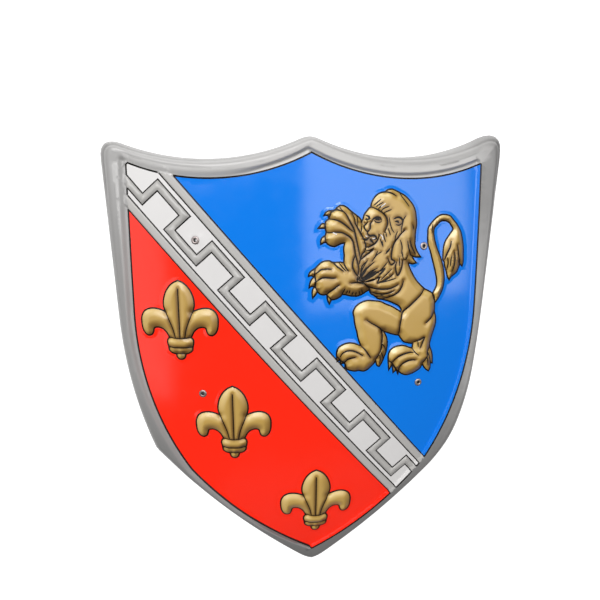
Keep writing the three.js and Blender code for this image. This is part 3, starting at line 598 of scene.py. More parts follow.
def straight(a, b, step=3.0):
    """Points on the straight way from one place to the next, without the last."""
    steps = max(1, int(math.dist(a, b) / step))
    return np.array(a) + np.outer(np.arange(steps) / steps, np.array(b) - np.array(a))


def ink_bend():
    """Lines along the edges of the bend, its bands and its meander."""
    for n in (-BEND_WIDTH / 2, -PANEL_EDGE, PANEL_EDGE, BEND_WIDTH / 2):
        ends = from_bend([-BEND_REACH, BEND_REACH], [n, n])
        ink(straight(ends[0], ends[1]), BEND_INK, depth=0.3)
    for shift in (-MEANDER_RIB / 2, MEANDER_RIB / 2):
        corners = from_bend(*np.array(meander_corners(shift)).T)
        ink(np.concatenate([straight(a, b) for a, b in zip(corners, corners[1:])]), BEND_INK, depth=0.3)


for line in figure_lines:
    ink(line, OUTLINE_INK, closed=True, depth=0.4)
for place in FLEUR_PLACES:
    for text, width in FLEUR_FOLDS.values():
        for side in (1, -1):
            ink(curve(pen(text, place, side)), width)
for line in lion_strokes(LION_FOLDS):
    ink(line, FOLD_INK, tapered=True)
for line in lion_strokes(LION_HAIRS):
    ink(line, HAIR_INK, tapered=True, depth=0.5)
for line in lion_strokes(LION_BOLD):
    ink(line, BOLD_INK, tapered=True, depth=0.6)
figure_ink_count = len(ink_lines)
ink_bend()
ink(field_line, FIELD_INK, closed=True, depth=0.2)
# The lion's white print and painted highlights, with no groove pressed in.
whites_and_glints = [dict(points=line, half=np.full(len(line), WHITE_AND_GLINT_INK / 2), closed=False, depth=0)
              for line in lion_strokes(LION_WHITES_AND_GLINTS)]
print("ink lines:", len(ink_lines), "and pale touches:", len(whites_and_glints))

# %% [markdown]
# ## Relief
# The height of the sheet is one function of the place on it: the dome, the raised border and bend, and the
# figures. A figure swells from its outline like a cushion, and every fold is a soft groove, so that the
# form between two folds looks full. Nearest distances come from a tree of points along the drawn lines.

# %% Relief
FLEUR_RELIEF = 4.2
LION_RELIEF = 5.2
FIGURE_EDGE = 9.0
FIGURE_FOOT = 0.6
FOOT_REACH = 4.5
FOLD_DEPTH = 1.3
FOLD_REACH = 2.4
FOLD_FADE = 2.5
TREE_STEP = 0.5


def line_tree(lines, step):
    """A tree of points along the lines, and each point's half width and depth."""
    places, halves, depths = [], [], []
    for line in lines:
        points, half = line["points"], line["half"]
        if line["closed"]:
            points, half = np.vstack([points, points[:1]]), np.append(half, half[0])
        run = length_along(points)
        at = np.arange(0, run[-1], step)
        places.append(points_at(points, at))
        halves.append(np.interp(at, run, half))
        depths.append(np.full(len(at), line["depth"]))
    places = np.concatenate(places)
    return point_tree(places), np.concatenate(halves), np.concatenate(depths)


def point_tree(places):
    """A tree of places, for finding the nearest one."""
    tree = kdtree.KDTree(len(places))
    for i, (x, y) in enumerate(places):
        tree.insert((x, y, 0), i)
    tree.balance()
    return tree


def nearest(tree, xy):
    """Distance to the nearest point of the tree, and that point's number."""
    found = [tree.find((x, y, 0)) for x, y in xy]
    return np.array([f[2] for f in found]), np.array([f[1] for f in found])


def bare(points):
    """A closed line without ink."""
    return dict(points=points, half=np.zeros(len(points)), closed=True, depth=0)


outline_tree = line_tree([bare(line) for line in figure_lines], TREE_STEP)[0]
folds = [line for line in ink_lines[:figure_ink_count] if not line["closed"]]
fold_tree, _, fold_depths = line_tree(folds, TREE_STEP)


def figure_rise(xy):
    """Height of the gilt figures over the sheet, with a soft foot round them."""
    distance, _ = nearest(outline_tree, xy)
    rise = FIGURE_FOOT * (1 - ramp(distance, FOOT_REACH))
    full = np.zeros(len(xy))
    for line in figure_lines:
        full[inside(line, xy)] = LION_RELIEF if line is lion_line or line is tail_line else FLEUR_RELIEF
    on = full > 0
    if on.any():
        fold_distance, fold = nearest(fold_tree, xy[on])
        swell = np.sin(np.pi / 2 * np.clip(distance[on] / FIGURE_EDGE, 0, 1))
        groove = FOLD_DEPTH * fold_depths[fold] * np.exp(-(fold_distance / FOLD_REACH) ** 1.5)
        rise[on] = FIGURE_FOOT + (full[on] - FIGURE_FOOT) * swell - groove * ramp(distance[on], FOLD_FADE)
    return rise


print("rise in the middle of a petal:", figure_rise(np.array([FLEUR_PLACES[0]])).round(2))

# %% [markdown]
# ## Raised border
# The border steps up from the field, runs flat and rolls over outside. On the mould its inner step lay a
# little to the upper left of the print, and on the left side it was hardly formed, so there the step is a
# long, soft rise. A place's share of the way from field to edge tells how far the border has rolled over.

# %% Border section
BORDER_RISE = 3.5
BORDER_SHIFT = np.array([-3.5, 2.5])
BORDER_STEP = 3.0
SOFT_STEP = 5.0
SOFT_SHIFT = 3.5
SOFT_LEFT_OF = (-80, -45)
SECTION_START = 0.45
SECTION_ROUND = 2.4
SECTION_FALL = 0.77
border_outline = field_line + BORDER_SHIFT
border_tree = line_tree([bare(border_outline)], TREE_STEP)[0]
field_points_tree = point_tree(field_line)
field_heights = dome(field_line[:, 0], field_line[:, 1])
border_widths = np.hypot(*(edge_line - field_line).T)


def section(share):
    """Height of the border at a share of the way from field to edge, as a share of its own top."""
    turn = np.clip((share - SECTION_START) / (1 - SECTION_START), 0, 1)
    return (1 - turn ** SECTION_ROUND) ** SECTION_FALL


def border_rise(xy):
    """Height of the border over the dome."""
    distance, _ = nearest(border_tree, xy)
    outside = np.where(inside(border_outline, xy), -distance, distance)
    softness = np.interp(xy[:, 0], SOFT_LEFT_OF, (1, 0))
    off_field, at = nearest(field_points_tree, xy)
    share = np.where(inside(field_line, xy), 0, off_field / border_widths[at])
    top = (field_heights[at] + BORDER_RISE) * section(share)
    step = BORDER_STEP + SOFT_STEP * softness
    return (top - dome(xy[:, 0], xy[:, 1])) * ramp((outside + SOFT_SHIFT * softness) / step, 1)


print("border section at 0.5, 0.7 and 0.9:", [round(float(section(s)), 2) for s in (0.5, 0.7, 0.9)])

# %% [markdown]
# ## Rivet seats
# A rivet can't sit flat on relief, so round each one the sheet goes down, or up, to a small flat seat.
# Where the seat lies is read from the CAD rivet itself.

# %% Rivet seats
SEAT_RADIUS = 5
SEAT_FADE = 4
RIVET_FLANGE = 0.9
RIVET_CLEARANCE = 0.15
RIVETS = {"rivet_arm_bottom": (-114, -21), "rivet_arm_top": (-114.7, 136),
          "rivet_grip_bottom": (114.7, -18.3), "rivet_grip_top": (116.5, 127.6)}


def rivet_frame(x, y):
    """Origin on the dome and the outward direction there."""
    return Vector((x, y, float(dome(x, y)))), dome_normal(x, y)


def rivet_stand(name):
    """The matrix that stands a thing made at the origin upright on the dome at a rivet's place."""
    origin, normal = rivet_frame(*RIVETS[name])
    return Matrix.Translation(origin * MM) @ normal.to_track_quat("Z", "Y").to_matrix().to_4x4()


def cad_reach(name):
    """How far the CAD rivet reaches along its own axis, inwards and outwards."""
    origin, normal = rivet_frame(*RIVETS[name])
    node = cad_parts[name]
    reach = [(node.matrix_world @ v.co / MM - origin).dot(normal) for v in node.data.vertices]
    return min(reach), max(reach)


rivet_reach = {name: cad_reach(name) for name in RIVETS}
print("rivets reach, in mm:", {name: [round(r, 2) for r in reach] for name, reach in rivet_reach.items()})


def relief(xy):
    """Height of everything on the sheet over the dome."""
    height = np.maximum(np.maximum(bend_rise(xy), figure_rise(xy)), border_rise(xy))
    for name, place in RIVETS.items():
        seat = rivet_reach[name][1] - RIVET_FLANGE - RIVET_CLEARANCE
        share = ramp(np.hypot(*(xy - place).T) - SEAT_RADIUS, SEAT_FADE)
        height = seat * (1 - share) + height * share
    return height


print("relief at the middle of the lion:", relief(np.array([[80.0, 88.0]])))

# %% [markdown]
# ## Flat plan of the sheet
# The front is laid out flat first. Every ink ribbon and colour edge is handed to a triangulation that keeps
# given edges, with a grid of loose points between them, close together on the figures and wide elsewhere.
# The plan ends at the brim, a line inside the border from which rings of points will carry on.

# %% Ribbons of ink
def ribbon(line):
    """Both edges of an ink line, as one or two closed loops."""
    points, half = line["points"], line["half"]
    if line["closed"]:
        before, after = np.roll(points, 1, axis=0), np.roll(points, -1, axis=0)
    else:
        before = np.vstack([points[:1] * 2 - points[1:2], points[:-1]])
        after = np.vstack([points[1:], points[-1:] * 2 - points[-2:-1]])
    into = (points - before) / np.linalg.norm(points - before, axis=1)[:, None]
    out = (after - points) / np.linalg.norm(after - points, axis=1)[:, None]
    middle = into + out
    middle /= np.maximum(np.linalg.norm(middle, axis=1), 0.3)[:, None]
    stretch = 1 / np.maximum(np.sum(middle * into, axis=1), 0.5)
    side = np.stack([-middle[:, 1], middle[:, 0]], 1) * (half * stretch)[:, None]
    if line["closed"]:
        return [points + side, points - side]
    return [np.vstack([points + side, (points - side)[::-1]])]


print("points round the first ribbon:", len(ribbon(ink_lines[0])[0]))


# %% Plan
class Plan:
    """Points and kept edges of the flat layout."""

    def __init__(self):
        self.points, self.edges, self.count = [], [], 0

    def loop(self, points):
        """Adds a closed line and keeps its edges."""
        index = np.arange(self.count, self.count + len(points))
        self.points.append(points)
        self.edges += list(zip(index.tolist(), np.roll(index, -1).tolist()))
        self.count += len(points)
        return index.tolist()

    def runs(self, points, kept):
        """Adds the kept stretches of a closed line."""
        if kept.all():
            self.loop(points)
            return
        start = int(np.argmin(kept))
        points, kept = np.roll(points, -start, axis=0), np.roll(kept, -start)
        index = np.flatnonzero(kept)
        for run in np.split(index, np.flatnonzero(np.diff(index) > 1) + 1):
            if len(run) > 1:
                self.edges += [(self.count + k, self.count + k + 1) for k in range(len(run) - 1)]
                self.points.append(points[run])
                self.count += len(run)

    def loose(self, points, gap):
        """Adds those points that keep their distance from what is there."""
        tree = point_tree(np.concatenate(self.points))
        kept = points[[tree.find((x, y, 0))[2] > gap for x, y in points]]
        self.points.append(kept)
        self.count += len(kept)


# %% Loose points
def grid(low, high, spacing):
    """Even hexagonal grid over a box."""
    rows = np.arange(low[1], high[1], spacing * math.sqrt(0.75))
    columns = np.arange(low[0], high[0], spacing)
    return np.concatenate([np.stack([columns + (k % 2) * spacing / 2, np.full(len(columns), y)], 1)
                           for k, y in enumerate(rows)])


def inner_points(border, spacing, margin):
    """Even points inside a closed line, with a margin to it."""
    points = grid(border.min(0), border.max(0), spacing)
    points = points[inside(border, points)]
    tree = line_tree([bare(border)], 1.0)[0]
    return points[nearest(tree, points)[0] > margin]


def offset(line, distance):
    """The closed line moved outwards, or inwards with a negative distance."""
    ahead = np.roll(line, -1, axis=0) - np.roll(line, 1, axis=0)
    ahead /= np.maximum(np.linalg.norm(ahead, axis=1), 1e-6)[:, None]
    turn = np.sum(line[:, 0] * np.roll(line[:, 1], -1) - np.roll(line[:, 0], -1) * line[:, 1])
    return line + np.stack([ahead[:, 1], -ahead[:, 0]], 1) * distance * np.sign(turn)


print("even points on the lion:", len(inner_points(lion_line, 5, 1)))


# %% Triangles and rivet holes
HOLE_RADIUS = 2.4
HOLE_SIDES = 24


def hole_line(place):
    """The edge of a rivet's hole."""
    angle = np.arange(HOLE_SIDES) * 2 * math.pi / HOLE_SIDES
    return np.array(place) + HOLE_RADIUS * np.stack([np.cos(angle), np.sin(angle)], 1)


def clear_of_rivets(xy, radius):
    """Which of the places keep this distance from every rivet."""
    return np.all([np.hypot(*(xy - place).T) > radius for place in RIVETS.values()], axis=0)


def triangles_in(plan, border_index):
    """The plan's triangles inside its border and outside the rivet holes: points and corner numbers."""
    places = [Vector(p) for p in np.concatenate(plan.points)]
    result = geometry.delaunay_2d_cdt(places, plan.edges, [border_index], 1, 1e-4)
    points, triangles = np.array([tuple(p) for p in result[0]]), [tuple(f) for f in result[2]]
    open_face = clear_of_rivets(points[np.array(triangles)].mean(1), HOLE_RADIUS * 0.98)
    return points, [face for face, keep in zip(triangles, open_face) if keep]


# %% Front sheet
BRIM_SHARE = 0.4
FIGURE_SPACING = 1.7
FIGURE_ROWS = (1.8, 3.2, 5.0)
BEND_ROWS = (-2.4, -1.3, 1.3, 2.4)
BORDER_ROWS = (-1, 0, 1, 2, 3, 4, 5.5)
SHEET_SPACING = 5.0
LOOSE_GAP = 0.55
FLANGE_COVER = 3.2
brim_line = field_line + (edge_line - field_line) * BRIM_SHARE
plan = Plan()
brim_index = plan.loop(brim_line)
hole_loops = [plan.loop(hole_line(place)) for place in RIVETS.values()]
sheet_area = field_line + (edge_line - field_line) * (BRIM_SHARE - 0.04)
for line in ink_lines + whites_and_glints:
    for loop in ribbon(line):
        plan.runs(loop, inside(sheet_area, loop) & clear_of_rivets(loop, FLANGE_COVER))
for line in figure_lines:
    plan.loose(inner_points(line, FIGURE_SPACING, 0.8), FIGURE_SPACING * LOOSE_GAP)
    for distance in FIGURE_ROWS:
        ring_points = offset(line, distance)
        plan.loose(ring_points[inside(field_line, ring_points)], 1.1)
for edge in (-BEND_WIDTH / 2, -PANEL_EDGE, PANEL_EDGE, BEND_WIDTH / 2):
    for shift in BEND_ROWS:
        row = straight(*from_bend([-BEND_REACH, BEND_REACH], [edge + shift] * 2), 2.5)
        plan.loose(row[inside(field_line, row)], 1.0)
border_rows = np.concatenate([offset(border_outline, distance) for distance in BORDER_ROWS])
plan.loose(border_rows[inside(sheet_area, border_rows)], 0.9)
plan.loose(inner_points(brim_line, SHEET_SPACING, 2.5), SHEET_SPACING * LOOSE_GAP)
flat, flat_faces = triangles_in(plan, brim_index)
print("front sheet:", len(flat), "points,", len(flat_faces), "triangles")

# %% [markdown]
# ## Ink of each face
# Each triangle of the plan lies wholly in one colour, because the edges of the colours are edges of the
# plan. So its middle tells which ink it gets.

# %% Inks of each face
INKS = ("silver border", "silver band", "blue", "red", "gilt", "white panel", "ink", "grey back")
BORDER, SILVER, BLUE, RED, GILT, PANEL, INK, BACK = range(len(INKS))
line_ink_tree, line_ink_halves, _ = line_tree(ink_lines[:-1], 0.25)
field_ink_tree = line_tree(ink_lines[-1:], 0.25)[0]
white_and_glint_tree = line_tree(whites_and_glints, 0.25)[0]


def face_inks(xy):
    """The printed colour at each place."""
    t, n = to_bend(xy)
    on_bend = np.abs(n) < BEND_WIDTH / 2
    in_field = inside(field_line, xy)
    colour = np.where(n > 0, BLUE, RED)
    colour[on_bend] = SILVER
    colour[(np.abs(n) < PANEL_EDGE) & (rib_distance(t, n) < 0)] = PANEL
    for line in figure_lines:
        colour[inside(line, xy)] = GILT
    silver_flows_out = colour == SILVER
    colour[~in_field] = BORDER
    distance, index = nearest(line_ink_tree, xy)
    colour[(distance < line_ink_halves[index]) & in_field] = INK
    # white print and painted highlights of the lion, in the white of the panel
    colour[nearest(white_and_glint_tree, xy)[0] < WHITE_AND_GLINT_INK / 2] = PANEL
    field_distance, _ = nearest(field_ink_tree, xy)
    colour[(field_distance < FIELD_INK / 2) & ~silver_flows_out] = INK
    return colour


centres = flat[np.array(flat_faces)].mean(1)
flat_inks = face_inks(centres)
print("faces of each ink:", {INKS[k]: int((flat_inks == k).sum()) for k in range(len(INKS))})

# %% [markdown]
# ## Rolled border and skirt
# Outside the flat plan the border rolls over into a skirt that ends at the trimmed edge. Rings of points
# carry that round section, then turn under the edge and come back up inside as the wall.

# %% Rings
CREASE_SHARE = 0.74
CREASE_REACH = 0.06
CREASE_DEPTH = 2.0
CREASE_LOWEST = 160
BRIM_FADES = (0.6, 0.25)
OUTER_SHARES = (0.45, 0.5, 0.55, 0.6, 0.64, 0.67, 0.695, 0.72, 0.745, 0.77,
                0.8, 0.84, 0.88, 0.915, 0.945, 0.97, 0.99, 1.0)
INNER_SHARES = (0.97, 0.93, 0.88, 0.82, 0.75, 0.67, 0.59, 0.52, 0.46)


def surface(xy):
    """Height of the printed face."""
    return dome(xy[:, 0], xy[:, 1]) + relief(xy)


def outer_ring(share):
    """A ring of points round the outside of the border, with the crease that the mould left at the top."""
    xy = field_line + (edge_line - field_line) * share
    crease = CREASE_DEPTH * math.exp(-((share - CREASE_SHARE) / CREASE_REACH) ** 2)
    at_top = ramp(field_line[:, 1] - CREASE_LOWEST, 30)
    return np.column_stack([xy, (field_heights + BORDER_RISE) * section(share) - crease * at_top])


def wall_ring(share):
    """The same ring on the inside, one wall thickness behind the outside."""
    top = field_heights + BORDER_RISE
    slope = top * (section(share + 0.002) - section(share - 0.002)) / (0.004 * border_widths)
    length = np.hypot(1, slope)
    inner_share = share + WALL * slope / length / border_widths
    xy = field_line + (edge_line - field_line) * inner_share[:, None]
    return np.column_stack([xy, np.maximum(top * section(share) - WALL / length, 0)])


front = np.column_stack([flat, surface(flat)])
brim_gap = front[: len(brim_line), 2] - outer_ring(BRIM_SHARE)[:, 2]
outer_rings = [outer_ring(share) for share in OUTER_SHARES]
for fade, points in zip(BRIM_FADES, outer_rings):
    points[:, 2] += brim_gap * fade
trim_line = edge_line + (field_line - edge_line) * (WALL / border_widths)[:, None]
inner_rings = [np.column_stack([trim_line, 0 * field_heights])] + [wall_ring(share) for share in INNER_SHARES]
print("rings:", len(outer_rings), "outside,", len(inner_rings), "inside; widest gap at the brim:",
      round(float(np.abs(brim_gap).max()), 2))

# %% [markdown]
# ## Back face
# The back is flat-planned too, with fewer points, so it follows the front's relief more softly, as a formed
# sheet does, one wall thickness behind it. Rows of points along the border's step keep it from cutting
# through the front there.

# %% Back face
BACK_SPACING = 7.0
BACK_ROWS = (-4, -0.5, 3)
BACK_FIGURE_SPACING = 3.5
back_plan = Plan()
back_index = back_plan.loop(brim_line)
back_holes = [back_plan.loop(hole_line(place)) for place in RIVETS.values()]
back_rows = np.concatenate([offset(border_outline, distance)[::2] for distance in BACK_ROWS])
back_plan.loose(back_rows[inside(sheet_area, back_rows)], 1.8)
back_plan.loose(inner_points(brim_line, BACK_SPACING, 4), BACK_SPACING * 0.6)
for line in figure_lines:
    back_plan.loose(inner_points(line, BACK_FIGURE_SPACING, 1.5), 2.2)
back_flat, back_faces = triangles_in(back_plan, back_index)
back_height = dome(back_flat[:, 0], back_flat[:, 1]) + relief(back_flat) - WALL
print("back sheet:", len(back_flat), "points,", len(back_faces), "triangles")


# %% [markdown]
# ## One closed shell
# Front, rings, back and the walls of the rivet holes are joined into one closed mesh whose faces all look
# outwards. Each face keeps the number of its ink.

# %% Shell mesh
def turned(points, faces, upward):
    """The faces, each wound so that it looks up, or down."""
    a, b, c = (points[np.array(faces)[:, k]] for k in range(3))
    up_side = np.cross(b - a, c - a) > 0
    return [f if u == upward else (f[0], f[2], f[1]) for f, u in zip(faces, up_side)]


def strip(one, other):
    """Four-sided faces between two closed rows of as many points."""
    return np.stack([one, other, np.roll(other, -1), np.roll(one, -1)], 1).tolist()


vertices = [front]
faces = turned(flat, flat_faces, True)
face_ink = flat_inks.tolist()
count = len(brim_line)
last = np.arange(count)
total = len(front)
for points in outer_rings + inner_rings + [np.column_stack([back_flat, back_height])]:
    now = np.arange(total, total + count)
    vertices.append(points)
    faces += strip(last, now)
    face_ink += [BORDER if len(vertices) <= len(outer_rings) + 1 else BACK] * count
    last, back_start, total = now, total, total + len(points)
faces += (np.array(turned(back_flat, back_faces, False)) + back_start).tolist()
face_ink += [BACK] * len(back_faces)
for front_hole, back_hole in zip(hole_loops, back_holes):
    faces += strip(np.array(back_hole) + back_start, np.array(front_hole))
    face_ink += [BACK] * HOLE_SIDES
vertices = np.concatenate(vertices)
print("shell:", len(vertices), "points,", len(faces), "faces")


# %% Shell object
def new_object(name, points, faces):
    """A mesh object from places in millimetres and faces."""
    mesh = bpy.data.meshes.new(name)
    mesh.from_pydata((np.asarray(points) * MM).tolist(), [], faces)
    print(name, "needed mending:", mesh.validate())
    piece = bpy.data.objects.new(name, mesh)
    bpy.context.scene.collection.objects.link(piece)
    return piece


def select_only(piece):
    bpy.ops.object.select_all(action="DESELECT")
    piece.select_set(True)
    bpy.context.view_layer.objects.active = piece


shell = new_object("printed_shell", vertices, faces)
shell.data.polygons.foreach_set("material_index", face_ink)
select_only(shell)
bpy.ops.object.shade_smooth_by_angle(angle=math.radians(50))
print("shell triangles:", sum(len(p.vertices) - 2 for p in shell.data.polygons))
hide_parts("shell")
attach(shell, "root")

# %% [markdown]
# ## Straps
# Two flexible bands for a forearm and a hand. A strip is cut round at its ends, divided across so that it
# can bend, laid along the back of the shell and bowed away from it between the rivets. Then it gets
# thickness.

# %% Straps
STRAP_WIDTH = 28
STRAP_THICKNESS = 2.4
STRAP_TAB = 14
STRAP_BOW = 30
STRAP_GAP = 0.3
STRAP_CUTS = 56
STRAP_HOLE = 2.5
STRAPS = {"arm_strap": ("rivet_arm_bottom", "rivet_arm_top"),
          "grip_strap": ("rivet_grip_bottom", "rivet_grip_top")}


def strap_height(x, y, low, high):
    """Height of the strap's front face: along the back of the shell, bowed away between the tabs."""
    share = min(max((y - low - STRAP_TAB) / (high - low - 2 * STRAP_TAB), 0), 1)
    wall = (WALL + STRAP_GAP) / dome_normal(x, y).z
    return float(dome(x, y)) - wall - STRAP_BOW * math.sin(math.pi * share) ** 2


def strap_strip(length):
    """A flat strip with round ends and cuts across it, standing on the origin."""
    bpy.ops.object.select_all(action="DESELECT")
    bpy.ops.mesh.primitive_plane_add(size=MM)
    strip = bpy.context.object
    bpy.ops.object.mode_set(mode="EDIT")
    bpy.ops.mesh.select_all(action="SELECT")
    bpy.ops.transform.resize(value=(STRAP_WIDTH, length, 1), center_override=(0, 0, 0))
    bpy.ops.mesh.bevel(offset=(STRAP_WIDTH / 2 - 0.5) * MM, segments=8, affect="VERTICES")
    for y in np.linspace(-length / 2, length / 2, STRAP_CUTS)[1:-1]:
        bpy.ops.mesh.select_all(action="SELECT")
        bpy.ops.mesh.bisect(plane_co=(0, y * MM, 0), plane_no=(0, 1, 0))
    bpy.ops.mesh.select_all(action="SELECT")
    bpy.ops.mesh.remove_doubles(threshold=0.02 * MM)
    bpy.ops.mesh.normals_make_consistent(inside=False)
    bpy.ops.object.mode_set(mode="OBJECT")
    if strip.data.polygons[0].normal.z < 0:
        strip.data.flip_normals()
    return strip


def apply_modifiers(piece):
    """Makes the piece's modifiers part of its mesh."""
    select_only(piece)
    for modifier in [m.name for m in piece.modifiers]:
        bpy.ops.object.modifier_apply(modifier=modifier)


def drill(piece, rivet_name):
    """Cuts the rivet's hole through the piece."""
    bpy.ops.object.select_all(action="DESELECT")
    bpy.ops.mesh.primitive_cylinder_add(vertices=32, radius=STRAP_HOLE * MM, depth=16 * MM)
    cutter = bpy.context.object
    cutter.data.transform(rivet_stand(rivet_name))
    cut = piece.modifiers.new("hole", "BOOLEAN")
    cut.operation = "DIFFERENCE"
    cut.object = cutter
    apply_modifiers(piece)
    bpy.data.objects.remove(cutter)


def lay(strap, low, high):
    """Bends the flat strip along the back of the shell, from one rivet to the other."""
    (low_x, low_y), (high_x, high_y) = low, high
    for vertex in strap.data.vertices:
        y = vertex.co.y / MM + (low_y + high_y) / 2
        x = vertex.co.x / MM + low_x + (high_x - low_x) * (y - low_y) / (high_y - low_y)
        vertex.co = (x * MM, y * MM, strap_height(x, y, low_y, high_y) * MM)


def thicken(strap):
    """Gives the strip its thickness and soft edges."""
    wall = strap.modifiers.new("thickness", "SOLIDIFY")
    wall.thickness = STRAP_THICKNESS * MM
    wall.offset = -1
    wall.use_even_offset = True
    soft = strap.modifiers.new("soft edges", "BEVEL")
    soft.width = 0.5 * MM
    soft.segments = 2
    soft.limit_method = "ANGLE"
    soft.angle_limit = math.radians(50)
    apply_modifiers(strap)


# %% Two straps
straps = {}
for name, (low_rivet, high_rivet) in STRAPS.items():
    low, high = RIVETS[low_rivet], RIVETS[high_rivet]
    strap = strap_strip(high[1] - low[1] + 2 * STRAP_TAB)
    strap.name = name + "_band"
    lay(strap, low, high)
    thicken(strap)
    drill(strap, low_rivet)
    drill(strap, high_rivet)
    bpy.ops.object.shade_smooth_by_angle(angle=math.radians(40))
    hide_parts(name)
    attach(strap, "root")
    straps[name] = strap
    print(strap.name, "triangles:", sum(len(p.vertices) - 2 for p in strap.data.polygons))

# %% [markdown]
# ## Hollow rivets
# One rivet is turned from its section: a rounded flange on the face, a plain shank and a flange rolled over
# behind the strap. The other three are copies whose shank is as long as their own seat asks for.

# %% Rivet pattern
RIVET_BORE = 1.5
RIVET_SHANK = 2.2
FRONT_FLANGE = 4.0
BACK_FLANGE = 3.7
RIVET_SIDES = 32


def rivet_section(inner, outer):
    """Radius and height round the section, from the bore over the front flange to the rolled one."""
    return [
        (RIVET_BORE, outer - 0.9), (RIVET_BORE + 0.12, outer - 0.4), (RIVET_BORE + 0.45, outer - 0.1),
        (RIVET_BORE + 1.0, outer), (FRONT_FLANGE - 0.9, outer - 0.08), (FRONT_FLANGE - 0.3, outer - 0.3),
        (FRONT_FLANGE, outer - 0.65), (FRONT_FLANGE, outer - 0.85), (FRONT_FLANGE - 0.2, outer - 0.92),
        (RIVET_SHANK, outer - 0.92), (RIVET_SHANK, inner + 0.9), (BACK_FLANGE - 0.15, inner + 0.9),
        (BACK_FLANGE, inner + 0.75), (BACK_FLANGE - 0.1, inner + 0.4), (BACK_FLANGE - 0.6, inner + 0.1),
        (BACK_FLANGE - 1.2, inner), (RIVET_BORE + 0.4, inner + 0.1), (RIVET_BORE, inner + 0.5),
    ]


def turned_rivet(name):
    """Turns the section of one rivet round the upright axis."""
    section_points = rivet_section(*rivet_reach[name])
    bpy.ops.object.select_all(action="DESELECT")
    bpy.ops.mesh.primitive_circle_add(vertices=len(section_points), radius=MM)
    piece = bpy.context.object
    for vertex, (radius, height) in zip(piece.data.vertices, section_points):
        vertex.co = (radius * MM, 0, height * MM)
    bpy.ops.object.mode_set(mode="EDIT")
    bpy.ops.mesh.select_all(action="SELECT")
    bpy.ops.mesh.spin(steps=RIVET_SIDES, angle=2 * math.pi, center=(0, 0, 0), axis=(0, 0, 1))
    bpy.ops.mesh.select_all(action="SELECT")
    bpy.ops.mesh.remove_doubles(threshold=0.001 * MM)
    bpy.ops.mesh.normals_make_consistent(inside=False)
    bpy.ops.object.mode_set(mode="OBJECT")
    return piece


pattern_name = next(iter(RIVETS))
pattern = turned_rivet(pattern_name)
pattern_top = rivet_reach[pattern_name][1]
print("rivet pattern:", len(pattern.data.polygons), "faces")

# %% Four rivets
FLANGE_DEPTH = 1.5
rivets = {}
for name in RIVETS:
    rivet = pattern.copy()
    rivet.data = pattern.data.copy()
    bpy.context.scene.collection.objects.link(rivet)
    rivet.name = name + "_turned"
    longer = rivet_reach[name][1] - pattern_top
    for vertex in rivet.data.vertices:
        if vertex.co.z > (pattern_top - FLANGE_DEPTH) * MM:
            vertex.co.z += longer * MM
    # Faces in the bore get a dark coat: painted shade in the hollow of the rivet.
    for polygon in rivet.data.polygons:
        in_bore = math.hypot(polygon.center.x, polygon.center.y) < (RIVET_BORE + 0.2) * MM
        polygon.material_index = int(in_bore)
    rivet.data.transform(rivet_stand(name))
    select_only(rivet)
    bpy.ops.object.shade_smooth_by_angle(angle=math.radians(50))
    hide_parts(name)
    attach(rivet, "root")
    rivets[name] = rivet
bpy.data.objects.remove(pattern)
print("rivets:", list(rivets))

# %% [markdown]
# ## Even gloss
# The triangles between ink lines are of all sizes, and gloss would show them. The true direction of the
# face is known from the height function, so it is worked out at every point and given to the mesh as its
# normal.

# %% Normals of the front
NORMAL_STEP = 0.5


def slope_along(height, xy, direction):
    """How steeply a height rises in a direction."""
    step = np.array(direction) * NORMAL_STEP
    return (height(xy + step) - height(xy - step)) / (2 * NORMAL_STEP)


slopes = [slope_along(surface, flat, direction) for direction in ((1, 0), (0, 1))]
normals = np.column_stack([-slopes[0], -slopes[1], np.ones(len(flat))])
normals /= np.linalg.norm(normals, axis=1)[:, None]
loop_count = len(shell.data.loops)
corner_normals = np.empty(loop_count * 3, np.float32)
shell.data.corner_normals.foreach_get("vector", corner_normals)
corner_normals = corner_normals.reshape(-1, 3)
corner_points = np.empty(loop_count, np.int32)
shell.data.loops.foreach_get("vertex_index", corner_points)
front_corners = 3 * len(flat_faces) + 4 * count * len(outer_rings)
on_front = (corner_points < len(flat)) & (np.arange(loop_count) < front_corners)
corner_normals[on_front] = normals[corner_points[on_front]]
shell.data.normals_split_custom_set(corner_normals.tolist())
print("corners with a worked-out normal:", int(on_front.sum()), "of", loop_count)

# %% [markdown]
# ## Shaded gilt
# The gilt is not metal but tan print with shading of its own, and that shading is done here as painted light:
# a painted highlight where a form faces the upper left, as if lit from there, and painted shade where it
# turns away or meets a fold. That painting is worked out once for each point and kept as a mesh attribute. A
# few hollows of the lion get more painted shade: each is given by its place, its reach and how dark it is.

# %% Gilt shading
GILT_LIGHT_FROM = (-0.55, 0.83)
GILT_MIDDLE = 0.6
GILT_CONTRAST = 0.62
GILT_FOLD_SHADE = 0.42
GILT_FOLD_REACH = 2.2
GILT_EDGE_SHADE = 0.12
GILT_EDGE_REACH = 2
GILT_SHADED_HOLLOWS = [(-32, 9, 7, 0.35), (-26, 22, 9, 0.12), (-23, 46.5, 5, 0.35), (-15, 66.5, 3, 0.3),
                   (-20, -8, 9, 0.15), (-62, 5, 9, 0.1), (8, 62.5, 3.5, 0.25)]


